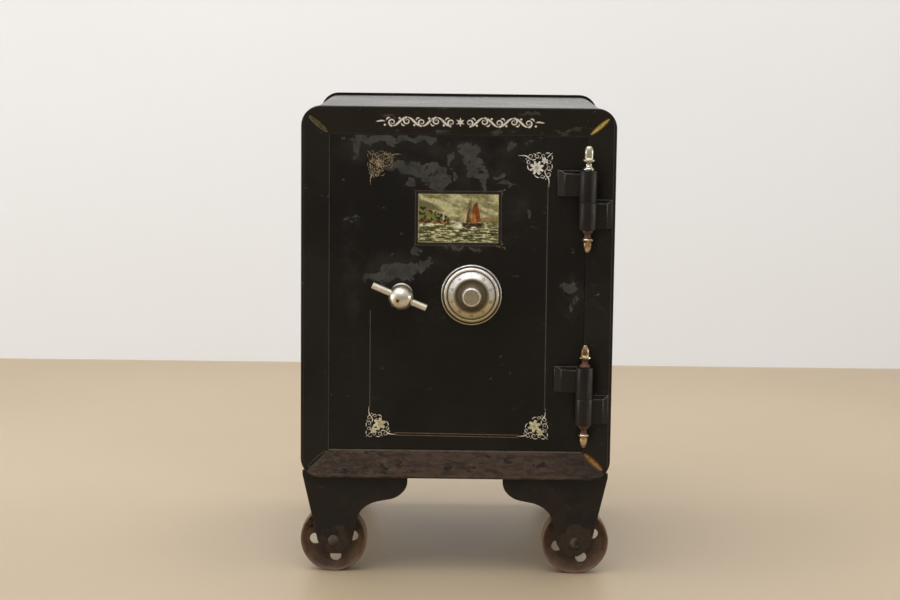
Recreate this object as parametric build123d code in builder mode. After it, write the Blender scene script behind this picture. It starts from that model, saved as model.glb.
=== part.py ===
from build123d import *
import math
import os

# An old fire-proof safe on four iron wheels: a wrapped plate body between two cast
# frames, a stepped door on two barrel hinges, a dial lock and a T-handle that throws
# three locking bolts. Millimetres, +Z up, the door faces -Y, the floor is Z = 0.

os.makedirs("parts", exist_ok=True)

# ---- Driving dimensions: body ----
BODY_WIDTH = 550.0
BODY_HEIGHT = 660.0
BODY_DEPTH = 567.0
BODY_BOTTOM = 177.0
FRONT = -257.0  # Y of the front frame's outer plane
CORNER_R = 35.0
FRAME_LIP = 5.0  # how far the two frames stand proud of the wrapped plate
FRAME_T = 12.0
TONGUE = 6.0  # the part of the front frame that enters the shell
SHELL_T = 5.0
OPENING_W = 450.0
OPENING_H = 560.0
SPLAY = 45.0  # width of the sloping face of the front frame
MID_Z = BODY_BOTTOM + BODY_HEIGHT / 2

# ---- Driving dimensions: jamb and inside ----
STEP_1 = (430.0, 540.0)  # clear width and height of the first jamb step
STEP_2 = (394.0, 504.0)
CAVITY = (380.0, 490.0)
STEP_1_REAR = 62.5  # depths behind the front plane
STEP_2_REAR = 106.0
JAMB_T = 5.0
LINER_T = 2.0
LINER_REAR = 480.0
BOARD_T = 8.0

# ---- Driving dimensions: door ----
DOOR_FACE = 12.0  # depth of the door's outer face
PLATE_T = 6.0
DOOR_GAP = 0.75
PLUG_GAP = 1.5
PLUG_1_REAR = 61.5
PLUG_2_REAR = 99.0
PARTITION_T = 5.0
PLUG_1_TAPER = 4.5  # the latch side leans in so that it clears the jamb as it swings
PLUG_2_TAPER = 7.9
PLUG_2_WALL = 8.0
BACK_PLATE_T = 3.0

# ---- Driving dimensions: hinges ----
HINGE_X = 226.0
HINGE_DEPTH = -12.0  # the pin stands this far in front of the front plane
KNUCKLE_R = 15.3
PIN_R = 6.0
HINGE_SEAMS = (674.5, 327.5)  # height of the joint between the two knuckles
DOOR_KNUCKLE_H = 55.5
FRAME_KNUCKLE_H = 47.5
LEAF_H = 46.0
FRAME_LEAF_RISE = 4.0  # how far the leaf on the frame stands above the seam
RUN_CLEAR = 0.06  # radial clearance of every running fit

# ---- Driving dimensions: dial, handle and bolts ----
DIAL_X = 25.0
HANDLE_X = -98.0
RING_R = 53.6
DIAL_R = 42.0
KNOB_R = 17.3
KNOB_FRONT = -25.0
DIAL_SPINDLE_R = 5.0
BALL_R = 22.0
BALL_NECK = 17.0  # depth behind the ball's centre where its neck begins
BALL_DEPTH = -33.0
BAR_R = 6.0
BAR_LENGTH = 102.0
BAR_TILT = 22.6
BAR_SHIFT = 3.0  # how far the bar stands out further on its raised side
SPINDLE_FRONT = BALL_DEPTH + BAR_R + 2.0  # the handle spindle stops short of the bar
HANDLE_SPINDLE_R = 8.0
GEAR_MODULE = 2.0
GEAR_TEETH = 14
GEAR_ADDENDUM = 1.6
GEAR_DEDENDUM = 2.1
GEAR_BACKLASH = 0.3
PRESSURE_ANGLE = math.radians(20)
PITCH_R = GEAR_MODULE * GEAR_TEETH / 2
BOLT_R = 11.0
BOLT_TIP = -187.0
BOLT_SHOULDER = -140.0
BOLT_DEPTH = 82.0
BOLT_HEIGHTS = (MID_Z - 170, MID_Z, MID_Z + 170)
BAR_HALF_T = 5.0  # half thickness of the bolt carrier, front to back

# ---- Driving dimensions: combination lock ----
CASE_HALF_W = 42.0
CASE_BOTTOM = 462.0
CASE_TOP = 560.0
CASE_FRONT = 62.0
CASE_REAR = 94.0
CASE_WALL = 4.0
LOCK_WHEEL_R = 28.0
LOCK_WHEEL_T = 3.0
LOCK_WHEEL_DEPTHS = (71.0, 76.0, 81.0)
POST_R = 7.0
LOCK_BOLT_W = 10.0
LOCK_BOLT_TOP = 561.0
ARM_BOTTOM = 572.0

# ---- Driving dimensions: legs and wheels ----
WHEEL_R = 59.5
WHEEL_T = 28.0
WHEEL_X = 217.0
WHEEL_DEPTH = 39.0
WHEEL_TURN = {"right": 20.0, "left": -5.0}  # how far the four holes are turned
AXLE_R = 6.0
LEG_FRONT = 12.5
CHEEK_T = 9.0
REAR_CHEEK = 56.0
REAR_CHEEK_T = 8.0
LEG_TOP = BODY_BOTTOM + FRAME_LIP - 0.1
PAD_T = 8.0
PAD_REAR = 112.0

shell_w = BODY_WIDTH - 2 * FRAME_LIP
shell_h = BODY_HEIGHT - 2 * FRAME_LIP
shell_r = CORNER_R - FRAME_LIP
inner_w = shell_w - 2 * SHELL_T
inner_h = shell_h - 2 * SHELL_T
inner_r = shell_r - SHELL_T
frame_rear = BODY_DEPTH - FRAME_T
panel_front = frame_rear - PLATE_T
axle_z = WHEEL_R


def facing(depth, x=0.0, z=MID_Z):
    """A plane that faces the door side, at a depth behind the front plane."""
    return Plane(origin=(x, FRONT + depth, z), x_dir=(1, 0, 0), z_dir=(0, -1, 0))


def turning(x, z):
    """A plane through an axis along Y: local x is depth, local y is radius."""
    return Plane(origin=(x, FRONT, z), x_dir=(0, 1, 0), z_dir=(1, 0, 0))


def axis_y(x, z):
    return Axis((x, FRONT, z), (0, 1, 0))


def write(part, name):
    """Label a finished piece and write its file."""
    part.label = name
    export_step(part, f"parts/{name}.step")


def turned(x, z, points):
    """A body of revolution about an axis along Y from (depth, radius) points."""
    with BuildPart() as body:
        with BuildSketch(turning(x, z)):
            with BuildLine():
                Polyline(*points, close=True)
            make_face()
        revolve(axis=axis_y(x, z))
    return body.part


# ---- Body: frames, wrapped plate and rear panel ----
with BuildPart() as front_frame:
    with BuildSketch(facing(FRAME_T)):
        RectangleRounded(BODY_WIDTH, BODY_HEIGHT, CORNER_R)
    extrude(amount=FRAME_T)
    fillet(front_frame.faces().sort_by(Axis.Y)[0].edges(), radius=2.5)
    with BuildSketch(facing(FRAME_T + TONGUE)):
        RectangleRounded(inner_w - 0.4, inner_h - 0.4, inner_r)
    extrude(amount=TONGUE)
    with BuildSketch(facing(FRAME_T)):
        Rectangle(OPENING_W, OPENING_H)
    with BuildSketch(facing(0)):
        Rectangle(OPENING_W + 2 * SPLAY, OPENING_H + 2 * SPLAY)
    loft(mode=Mode.SUBTRACT)
    with BuildSketch(facing(FRAME_T + TONGUE)):
        Rectangle(OPENING_W, OPENING_H)
    extrude(amount=FRAME_T + TONGUE, mode=Mode.SUBTRACT)
write(front_frame.part, "front_frame")

RIVET_R = 3.0
RIVET_GRID_X = 80.0
RIVET_GRID_Z = 96.0
RIVET_ROWS = (inner_w - 30.0, inner_h - 30.0)
rivet_places = [
    *GridLocations(RIVET_GRID_X, RIVET_ROWS[1], 6, 2).local_locations,
    *GridLocations(RIVET_ROWS[0], RIVET_GRID_Z, 2, 6).local_locations,
]

with BuildPart() as rear_frame:
    with BuildSketch(facing(BODY_DEPTH)):
        RectangleRounded(BODY_WIDTH, BODY_HEIGHT, CORNER_R)
    extrude(amount=FRAME_T)
    fillet(rear_frame.faces().sort_by(Axis.Y)[-1].edges(), radius=2.5)
    with BuildSketch(facing(BODY_DEPTH)):
        RectangleRounded(inner_w - 60, inner_h - 60, 12)
        with Locations(*rivet_places):
            Circle(RIVET_R)
    extrude(amount=FRAME_T, mode=Mode.SUBTRACT)
write(rear_frame.part, "rear_frame")

with BuildPart() as rear_panel:
    with BuildSketch(facing(frame_rear)):
        RectangleRounded(inner_w - 0.4, inner_h - 0.4, inner_r)
        with Locations(*rivet_places):
            Circle(RIVET_R, mode=Mode.SUBTRACT)
    extrude(amount=PLATE_T)
write(rear_panel.part, "rear_panel")

with BuildPart() as rivets:
    with BuildSketch(facing(BODY_DEPTH)):
        with Locations(*rivet_places):
            Circle(RIVET_R)
    extrude(amount=FRAME_T + PLATE_T)
    with BuildSketch(facing(BODY_DEPTH)):
        with Locations(*rivet_places):
            Circle(2 * RIVET_R)
    extrude(amount=-2.0, taper=40)
write(rivets.part, "rear_panel_rivets")

# ---- Legs: outline of the right front leg, seen from the front ----
WING_END = 85.0
OUTER_TOP = 272.5
OUTER_LOW = 245.0
TIP_Z = 35.0


def leg_hole(x):
    """Bolt places of one leg: distance from the middle, depth."""
    return [(x - 18, 84.0), (x + 18, 84.0), (x, 98.0)]


with BuildPart() as leg_right:
    with BuildSketch(facing(LEG_FRONT + CHEEK_T, 0, 0)):
        with BuildLine():
            Line((OUTER_LOW, 58), (OUTER_TOP, LEG_TOP - 3))
            Line((OUTER_TOP, LEG_TOP - 3), (OUTER_TOP, LEG_TOP + 5))
            Line((OUTER_TOP, LEG_TOP + 5), (OUTER_TOP - 8, LEG_TOP + 8))
            Line((OUTER_TOP - 8, LEG_TOP + 8), (WHEEL_X, LEG_TOP + 8))
            Line((WHEEL_X, LEG_TOP + 8), (WHEEL_X, LEG_TOP))
            Line((WHEEL_X, LEG_TOP), (WING_END, LEG_TOP))
            Line((WING_END, LEG_TOP), (WING_END, 170))
            Spline((WING_END, 170), (94, 148), (115, 136), tangents=((0, -1), (1, -0.25)))
            Line((115, 136), (135, 132.2))
            Spline((135, 132.2), (160.5, 121.5), (174, 101), tangents=((1, -0.2), (0.25, -1)))
            Line((174, 101), (184, 56))
            Line((184, 56), (192, 43))
            Line((192, 43), (205, TIP_Z))
            Line((205, TIP_Z), (222, TIP_Z))
            Line((222, TIP_Z), (236, 44))
            Line((236, 44), (OUTER_LOW, 58))
        make_face()
    extrude(amount=CHEEK_T)
    # rear cheek, straight sided
    with BuildSketch(facing(REAR_CHEEK + REAR_CHEEK_T, 0, 0)):
        with BuildLine():
            Polyline(
                (OUTER_LOW, 58),
                (OUTER_TOP - 4, LEG_TOP),
                (168, LEG_TOP),
                (184, 56),
                (194, 42),
                (236, 42),
                close=True,
            )
        make_face()
    extrude(amount=REAR_CHEEK_T)
    # side web above the wheel
    with BuildSketch(facing(REAR_CHEEK, 0, 0)):
        with BuildLine():
            Polyline((261, 128), (OUTER_TOP - 1, LEG_TOP), (259, LEG_TOP), (249.5, 128), close=True)
        make_face()
    extrude(amount=REAR_CHEEK - LEG_FRONT - CHEEK_T)
    # pad under the body
    with BuildSketch(facing(PAD_REAR, 0, 0)):
        with Locations((WHEEL_X, LEG_TOP - PAD_T / 2)):
            Rectangle(92, PAD_T)
    extrude(amount=PAD_REAR - LEG_FRONT - CHEEK_T)
    # the ear follows the rounded corner of the wrapped plate
    with BuildSketch(facing(PAD_REAR)):
        RectangleRounded(shell_w + 0.4, shell_h + 0.2, shell_r)
    extrude(amount=PAD_REAR, mode=Mode.SUBTRACT)
    with BuildSketch(facing(PAD_REAR, WHEEL_X, axle_z)):
        Circle(AXLE_R + 0.05)
    extrude(amount=PAD_REAR, mode=Mode.SUBTRACT)
    with BuildSketch(Plane.XY.offset(LEG_TOP - PAD_T)):
        with Locations(*[(x, FRONT + d) for x, d in leg_hole(WHEEL_X)]):
            Circle(4.1)
    extrude(amount=PAD_T + 1, mode=Mode.SUBTRACT)
    chamfer(leg_right.faces().sort_by(Axis.Y)[0].edges().filter_by(Axis.Z, reverse=True), length=1.0)

middle = Plane(origin=(0, FRONT + BODY_DEPTH / 2, 0), x_dir=(1, 0, 0), z_dir=(0, 1, 0))
SIDES = ("right", "left")


def placed(part, side, rear):
    """A copy of a right front piece on the given side, at the front or the rear."""
    with BuildPart() as copy:
        add(part)
        if side == "left":
            mirror(about=Plane.YZ, mode=Mode.REPLACE)
        if rear:
            mirror(about=middle, mode=Mode.REPLACE)
    return copy.part


# ---- Wheels, axle bolts, nuts and leg bolts ----
HUB_R = 16.0
RIM_R = 51.0
WHEEL_HOLE_R = 10.0
WHEEL_HOLE_AT = 34.0
wheel_rear = WHEEL_DEPTH + WHEEL_T / 2

# distance from the wheel's middle plane and radius, from the hub out to the rim
wheel_half = (
    (WHEEL_T / 2, AXLE_R + RUN_CLEAR),
    (WHEEL_T / 2, HUB_R - 2),
    (WHEEL_T / 2 - 2, HUB_R),
    (4.0, HUB_R + 3),
    (3.0, HUB_R + 8),
    (3.0, RIM_R - 9),
    (5.0, RIM_R - 3),
    (9.0, RIM_R + 1.5),
    (13.0, RIM_R + 5),
    (WHEEL_T / 2, RIM_R + 6),
    (WHEEL_T / 2, WHEEL_R - 1.2),
    (WHEEL_T / 2 - 1.2, WHEEL_R),
)
wheel_profile = [(WHEEL_DEPTH - out, r) for out, r in wheel_half]
wheel_profile += [(WHEEL_DEPTH + out, r) for out, r in reversed(wheel_half)]


def road_wheel(turn):
    """A dished iron wheel in the right front place, turned about its axle."""
    with BuildPart() as wheel:
        add(turned(WHEEL_X, axle_z, wheel_profile))
        with BuildSketch(facing(wheel_rear, WHEEL_X, axle_z)):
            with PolarLocations(WHEEL_HOLE_AT, 4, start_angle=turn):
                Circle(WHEEL_HOLE_R)
        extrude(amount=WHEEL_T, mode=Mode.SUBTRACT)
    return wheel.part


HEAD_R = 9.5
HEAD_H = 5.0
dome_r = (HEAD_R**2 + HEAD_H**2) / (2 * HEAD_H)
dome_half = math.asin(HEAD_R / dome_r) / 2
dome_mid = LEG_FRONT - HEAD_H + dome_r * (1 - math.cos(dome_half))
axle_end = REAR_CHEEK + REAR_CHEEK_T + 11.0
with BuildPart() as axle_right:
    with BuildSketch(turning(WHEEL_X, axle_z)):
        with BuildLine():
            Line((LEG_FRONT - HEAD_H, 0), (axle_end, 0))
            Line((axle_end, 0), (axle_end, AXLE_R))
            Line((axle_end, AXLE_R), (LEG_FRONT, AXLE_R))
            Line((LEG_FRONT, AXLE_R), (LEG_FRONT, HEAD_R))
            ThreePointArc(
                (LEG_FRONT, HEAD_R),
                (dome_mid, dome_r * math.sin(dome_half)),
                (LEG_FRONT - HEAD_H, 0),
            )
        make_face()
    revolve(axis=axis_y(WHEEL_X, axle_z))

with BuildPart() as nut_right:
    with BuildSketch(facing(axle_end - 2, WHEEL_X, axle_z)):
        RegularPolygon(11, 6)
        Circle(AXLE_R + 0.02, mode=Mode.SUBTRACT)
    extrude(amount=axle_end - 2 - REAR_CHEEK - REAR_CHEEK_T)

with BuildPart() as leg_bolts_right:
    with BuildSketch(Plane.XY.offset(LEG_TOP - PAD_T)):
        with Locations(*[(x, FRONT + d) for x, d in leg_hole(WHEEL_X)]):
            Circle(4.0)
    extrude(amount=PAD_T + 20)
    with BuildSketch(Plane.XY.offset(LEG_TOP - PAD_T)):
        with Locations(*[(x, FRONT + d) for x, d in leg_hole(WHEEL_X)]):
            RegularPolygon(7, 6)
    extrude(amount=-5)

for rear, end in ((False, "front"), (True, "rear")):
    for side in SIDES:
        write(placed(leg_right.part, side, rear), f"{end}_{side}_leg")
        write(placed(road_wheel(WHEEL_TURN[side]), side, rear), f"{end}_{side}_wheel")

for piece, name in (
    (axle_right.part, "wheel_axle_bolts"),
    (nut_right.part, "wheel_axle_nuts"),
    (leg_bolts_right.part, "leg_bolts"),
):
    with BuildPart() as group:
        add(piece)
        mirror(about=Plane.YZ)
        mirror(about=middle)
    write(group.part, name)

with BuildPart() as bolt_room:
    add(leg_bolts_right.part)
    mirror(about=Plane.YZ)
    mirror(about=middle)

with BuildPart() as outer_shell:
    with BuildSketch(facing(frame_rear)):
        RectangleRounded(shell_w, shell_h, shell_r)
        RectangleRounded(inner_w, inner_h, inner_r, mode=Mode.SUBTRACT)
    extrude(amount=frame_rear - FRAME_T)
    add(bolt_room.part, mode=Mode.SUBTRACT)
write(outer_shell.part, "outer_shell")

# ---- Door jamb, insulation, liner and cabinet ----
jamb_rear = STEP_2_REAR + JAMB_T
ledge_rear = STEP_1_REAR + JAMB_T
with BuildPart() as door_jamb:
    with BuildSketch(facing(ledge_rear)):
        Rectangle(STEP_1[0] + 2 * JAMB_T, STEP_1[1] + 2 * JAMB_T)
    extrude(amount=ledge_rear - FRAME_T - TONGUE)
    with BuildSketch(facing(jamb_rear)):
        Rectangle(STEP_2[0] + 2 * JAMB_T, STEP_2[1] + 2 * JAMB_T)
    extrude(amount=jamb_rear - ledge_rear)
    with BuildSketch(facing(STEP_1_REAR)):
        Rectangle(*STEP_1)
    extrude(amount=STEP_1_REAR, mode=Mode.SUBTRACT)
    with BuildSketch(facing(STEP_2_REAR)):
        Rectangle(*STEP_2)
    extrude(amount=STEP_2_REAR, mode=Mode.SUBTRACT)
    with BuildSketch(facing(jamb_rear)):
        Rectangle(*CAVITY)
    extrude(amount=jamb_rear, mode=Mode.SUBTRACT)
    jamb_block = Plane(
        origin=(-STEP_2[0] / 2 + 1, FRONT + BOLT_DEPTH, 0), x_dir=(0, 1, 0), z_dir=(-1, 0, 0)
    )
    with BuildSketch(jamb_block):
        with Locations(*[(0, -z) for z in BOLT_HEIGHTS]):
            Circle(BOLT_R + 1.5)
    extrude(amount=JAMB_T + 2, mode=Mode.SUBTRACT)
write(door_jamb.part, "door_jamb")

liner_w = CAVITY[0] + 2 * LINER_T
liner_h = CAVITY[1] + 2 * LINER_T
with BuildPart() as inner_liner:
    with BuildSketch(facing(LINER_REAR)):
        Rectangle(liner_w, liner_h)
    extrude(amount=LINER_REAR - jamb_rear)
    with BuildSketch(facing(LINER_REAR - LINER_T)):
        Rectangle(*CAVITY)
    extrude(amount=LINER_REAR - LINER_T - jamb_rear, mode=Mode.SUBTRACT)
write(inner_liner.part, "inner_liner")

with BuildPart() as insulation_fill:
    with BuildSketch(facing(panel_front)):
        RectangleRounded(inner_w, inner_h, inner_r)
    extrude(amount=panel_front - FRAME_T - TONGUE)
    with BuildSketch(facing(ledge_rear)):
        Rectangle(STEP_1[0] + 2 * JAMB_T, STEP_1[1] + 2 * JAMB_T)
    extrude(amount=ledge_rear, mode=Mode.SUBTRACT)
    with BuildSketch(facing(jamb_rear)):
        Rectangle(STEP_2[0] + 2 * JAMB_T, STEP_2[1] + 2 * JAMB_T)
    extrude(amount=jamb_rear, mode=Mode.SUBTRACT)
    with BuildSketch(facing(LINER_REAR)):
        Rectangle(liner_w, liner_h)
    extrude(amount=LINER_REAR, mode=Mode.SUBTRACT)
    with BuildSketch(jamb_block):
        with Locations(*[(0, -z) for z in BOLT_HEIGHTS]):
            Circle(BOLT_R + 1.5)
    extrude(amount=22, mode=Mode.SUBTRACT)
    add(bolt_room.part, mode=Mode.SUBTRACT)
write(insulation_fill.part, "insulation_fill")

cabinet_front = jamb_rear + 4.0
cabinet_rear = LINER_REAR - LINER_T - 1.0
cabinet_w = CAVITY[0] - 2.0
cabinet_h = CAVITY[1] - 2.0
SHELF_Z = MID_Z + 90.0
RECESS = 14.0  # the shelf and the divider stand back from the cabinet's front edge
with BuildPart() as cabinet:
    with BuildSketch(facing(cabinet_rear)):
        Rectangle(cabinet_w, cabinet_h)
    extrude(amount=cabinet_rear - cabinet_front)
    with BuildSketch(facing(cabinet_rear - BOARD_T)):
        Rectangle(cabinet_w - 2 * BOARD_T, cabinet_h - 2 * BOARD_T)
    extrude(amount=cabinet_rear - BOARD_T - cabinet_front, mode=Mode.SUBTRACT)
write(cabinet.part, "cabinet_carcass")

shelf_rear = cabinet_rear - BOARD_T
shelf_front = cabinet_front + RECESS
cabinet_top = MID_Z + cabinet_h / 2 - BOARD_T
with BuildPart() as shelf:
    with BuildSketch(facing(shelf_rear, 0, SHELF_Z)):
        Rectangle(cabinet_w - 2 * BOARD_T, BOARD_T)
    extrude(amount=shelf_rear - shelf_front)
write(shelf.part, "cabinet_shelf")

divider_bottom = SHELF_Z + BOARD_T / 2
with BuildPart() as divider:
    with BuildSketch(facing(shelf_rear, 0, (divider_bottom + cabinet_top) / 2)):
        Rectangle(BOARD_T, cabinet_top - divider_bottom)
    extrude(amount=shelf_rear - shelf_front)
write(divider.part, "cabinet_divider")

# ---- Door: face plate, stepped casing, insulation and back plate ----
FLANGE_R = 20.0
TUBE_WALL = 3.0
dial_tube_r = DIAL_SPINDLE_R + RUN_CLEAR + TUBE_WALL
handle_tube_r = HANDLE_SPINDLE_R + RUN_CLEAR + TUBE_WALL
spindle_places = ((DIAL_X, dial_tube_r), (HANDLE_X, handle_tube_r))
partition_front = PLUG_1_REAR - PARTITION_T
plate_rear = DOOR_FACE + PLATE_T

with BuildPart() as face_plate:
    with BuildSketch(facing(plate_rear)):
        Rectangle(OPENING_W - 2 * DOOR_GAP, OPENING_H - 2 * DOOR_GAP)
        for x, radius in spindle_places:
            with Locations((x, 0)):
                Circle(radius, mode=Mode.SUBTRACT)
    extrude(amount=PLATE_T)
write(face_plate.part, "door_face_plate")

plug_1_half = STEP_1[0] / 2 - PLUG_GAP
plug_2_half = STEP_2[0] / 2 - PLUG_GAP
plug_1_h = STEP_1[1] - 2 * PLUG_GAP
plug_2_h = STEP_2[1] - 2 * PLUG_GAP
latch_wall = plug_2_half - PLUG_2_TAPER - PLUG_2_WALL
bolt_face = Plane(
    origin=(-latch_wall + 1, FRONT + BOLT_DEPTH, 0), x_dir=(0, 1, 0), z_dir=(-1, 0, 0)
)
plate_left = plug_2_half - PLUG_2_TAPER - 0.6
plate_mid = (plug_2_half - plate_left) / 2
plate_w = plug_2_half + plate_left
screw_places = [
    (x, z) for x in (-plate_left + 4, plate_mid, plug_2_half - 4) for z in (-245, 245)
]
screw_places += [(x, z) for x in (-plate_left + 4, plug_2_half - 4) for z in (-85, 85)]

with BuildPart() as casing:
    with BuildSketch(Plane.XY.offset(MID_Z - plug_1_h / 2)):
        with BuildLine():
            Polyline(
                (-plug_1_half, FRONT + plate_rear),
                (plug_1_half, FRONT + plate_rear),
                (plug_1_half, FRONT + PLUG_1_REAR),
                (-plug_1_half + PLUG_1_TAPER, FRONT + PLUG_1_REAR),
                close=True,
            )
        make_face()
    extrude(amount=plug_1_h)
    with BuildSketch(Plane.XY.offset(MID_Z - plug_2_h / 2)):
        with BuildLine():
            Polyline(
                (-plug_2_half, FRONT + PLUG_1_REAR),
                (plug_2_half, FRONT + PLUG_1_REAR),
                (plug_2_half, FRONT + PLUG_2_REAR),
                (-plug_2_half + PLUG_2_TAPER, FRONT + PLUG_2_REAR),
                close=True,
            )
        make_face()
    extrude(amount=plug_2_h)
    with BuildSketch(facing(partition_front)):
        Rectangle(2 * (plug_1_half - PLUG_1_TAPER - JAMB_T), plug_1_h - 2 * JAMB_T)
    extrude(amount=partition_front - plate_rear, mode=Mode.SUBTRACT)
    with BuildSketch(facing(PLUG_2_REAR, (plug_2_half - PLUG_2_WALL - latch_wall) / 2)):
        Rectangle(plug_2_half - PLUG_2_WALL + latch_wall, plug_2_h - 2 * PLUG_2_WALL)
    extrude(amount=PLUG_2_REAR - PLUG_1_REAR, mode=Mode.SUBTRACT)
    with BuildSketch(facing(PLUG_1_REAR)):
        for x, radius in spindle_places:
            with Locations((x, 0)):
                Circle(radius)
    extrude(amount=PARTITION_T, mode=Mode.SUBTRACT)
    with BuildSketch(bolt_face):
        with Locations(*[(0, -z) for z in BOLT_HEIGHTS]):
            Circle(BOLT_R + RUN_CLEAR)
    extrude(amount=24, mode=Mode.SUBTRACT)
    with BuildSketch(facing(PLUG_2_REAR)):
        with Locations(*screw_places):
            Circle(2.0)
    extrude(amount=10, mode=Mode.SUBTRACT)
write(casing.part, "door_plug_casing")

with BuildPart() as door_insulation:
    with BuildSketch(facing(partition_front)):
        Rectangle(2 * (plug_1_half - PLUG_1_TAPER - JAMB_T), plug_1_h - 2 * JAMB_T)
        for x, radius in spindle_places:
            with Locations((x, 0)):
                Circle(radius, mode=Mode.SUBTRACT)
    extrude(amount=partition_front - plate_rear)
write(door_insulation.part, "door_insulation")

with BuildPart() as back_plate:
    with BuildSketch(facing(PLUG_2_REAR + BACK_PLATE_T)):
        with Locations((plate_mid, 0)):
            Rectangle(plate_w, plug_2_h)
        with Locations(*screw_places):
            Circle(2.0, mode=Mode.SUBTRACT)
    extrude(amount=BACK_PLATE_T)
write(back_plate.part, "door_back_plate")

with BuildPart() as back_screws:
    with BuildSketch(facing(PLUG_2_REAR + BACK_PLATE_T)):
        with Locations(*screw_places):
            Circle(1.95)
    extrude(amount=BACK_PLATE_T + 8)
    with BuildSketch(facing(PLUG_2_REAR + BACK_PLATE_T)):
        with Locations(*screw_places):
            Circle(3.8)
    extrude(amount=-1.6, taper=30)
write(back_screws.part, "back_plate_screws")

for name, x, z_radius, bore in (
    ("dial_spindle_tube", DIAL_X, dial_tube_r, DIAL_SPINDLE_R),
    ("handle_spindle_tube", HANDLE_X, handle_tube_r, HANDLE_SPINDLE_R),
):
    with BuildPart() as tube:
        with BuildSketch(facing(PLUG_1_REAR, x)):
            Circle(z_radius)
            Circle(bore + RUN_CLEAR, mode=Mode.SUBTRACT)
        extrude(amount=PLUG_1_REAR - DOOR_FACE)
    write(tube.part, name)

# ---- Dial ring, dial, knob and spindle ----
ring_profile = (
    (DOOR_FACE, DIAL_R + 0.8),
    (3.0, DIAL_R + 0.8),
    (1.9, DIAL_R + 1.8),
    (1.2, DIAL_R + 3.4),
    (1.9, DIAL_R + 5.0),
    (3.6, DIAL_R + 6.6),
    (6.9, DIAL_R + 7.6),
    (6.9, RING_R - 2.6),
    (4.9, RING_R - 1.8),
    (4.9, RING_R - 0.8),
    (6.0, RING_R),
    (DOOR_FACE, RING_R),
)
write(turned(DIAL_X, MID_Z, ring_profile), "dial_ring")

spindle_end = 92.0
KNOB_REAR = -4.0
dial_profile = (
    (11.0, DIAL_SPINDLE_R),
    (11.0, DIAL_R - 1.0),
    (3.0, DIAL_R),
    (1.5, DIAL_R),
    (-5.0, 29.5),
    (-5.0, 28.0),
    (-1.0, 24.0),
    (-1.5, 20.0),
    (KNOB_REAR, KNOB_R),
    (KNOB_REAR, DIAL_SPINDLE_R),
)
write(turned(DIAL_X, MID_Z, dial_profile), "dial")

knob_profile = (
    (KNOB_REAR, DIAL_SPINDLE_R),
    (KNOB_REAR, KNOB_R - 1.0),
    (KNOB_REAR - 2, KNOB_R),
    (KNOB_FRONT + 4, KNOB_R),
    (KNOB_FRONT + 1, KNOB_R - 1.6),
    (KNOB_FRONT, KNOB_R - 3.6),
    (KNOB_FRONT, 0),
    (KNOB_FRONT + 4, 0),
    (KNOB_FRONT + 4, DIAL_SPINDLE_R),
)
write(turned(DIAL_X, MID_Z, knob_profile), "dial_knob")

spindle_profile = (
    (KNOB_FRONT + 4, 0),
    (KNOB_FRONT + 4, DIAL_SPINDLE_R),
    (spindle_end, DIAL_SPINDLE_R),
    (spindle_end, 0),
)
write(turned(DIAL_X, MID_Z, spindle_profile), "dial_spindle")

with BuildPart() as drive_cam:
    with BuildSketch(facing(spindle_end - 0.5, DIAL_X)):
        Circle(24)
        Circle(DIAL_SPINDLE_R, mode=Mode.SUBTRACT)
        with Locations((-23, 0)):
            Rectangle(12, 7, mode=Mode.SUBTRACT)
    extrude(amount=3.5)
write(drive_cam.part, "drive_cam")

# ---- Combination lock ----
case_mid = (CASE_BOTTOM + CASE_TOP) / 2
case_h = CASE_TOP - CASE_BOTTOM
case_floor = CASE_FRONT + CASE_WALL
BOSS = 8.0
case_screws = [(x, z) for x in (-38, 38) for z in (-43, 43)]
lock_bolt_mid = 80.0
LOCK_BOLT_T = 9.0

with BuildPart() as lock_case:
    with BuildSketch(facing(CASE_REAR, DIAL_X, case_mid)):
        Rectangle(2 * CASE_HALF_W, case_h)
    extrude(amount=CASE_REAR - CASE_FRONT)
    with BuildSketch(facing(CASE_REAR, DIAL_X, case_mid)):
        Rectangle(2 * (CASE_HALF_W - CASE_WALL), case_h - 2 * CASE_WALL)
    extrude(amount=CASE_REAR - case_floor, mode=Mode.SUBTRACT)
    # corner bosses for the cover screws
    with BuildSketch(facing(CASE_REAR, DIAL_X, case_mid)):
        with Locations(*case_screws):
            Rectangle(BOSS, BOSS)
    extrude(amount=CASE_REAR - case_floor)
    with BuildSketch(facing(CASE_REAR, DIAL_X, case_mid)):
        with Locations(*case_screws):
            Circle(1.75)
    extrude(amount=16, mode=Mode.SUBTRACT)
    with BuildSketch(facing(case_floor, DIAL_X)):
        Circle(POST_R)
    extrude(amount=CASE_WALL, mode=Mode.SUBTRACT)
    with BuildSketch(Plane.XY.offset(CASE_TOP - CASE_WALL - 1)):
        with Locations((DIAL_X, FRONT + lock_bolt_mid)):
            Rectangle(LOCK_BOLT_W + 0.2, LOCK_BOLT_T + 0.2)
    extrude(amount=CASE_WALL + 2, mode=Mode.SUBTRACT)
write(lock_case.part, "lock_case")

with BuildPart() as lock_cover:
    with BuildSketch(facing(CASE_REAR + 2.5, DIAL_X, case_mid)):
        Rectangle(2 * CASE_HALF_W, case_h)
        with Locations(*case_screws):
            Circle(1.75, mode=Mode.SUBTRACT)
    extrude(amount=2.5)
write(lock_cover.part, "lock_cover")

with BuildPart() as lock_screws:
    with BuildSketch(facing(CASE_REAR + 2.5, DIAL_X, case_mid)):
        with Locations(*case_screws):
            Circle(1.7)
    extrude(amount=14)
    with BuildSketch(facing(CASE_REAR + 2.5, DIAL_X, case_mid)):
        with Locations(*case_screws):
            Circle(3.2)
    extrude(amount=-1.5, taper=20)
write(lock_screws.part, "lock_cover_screws")

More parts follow.
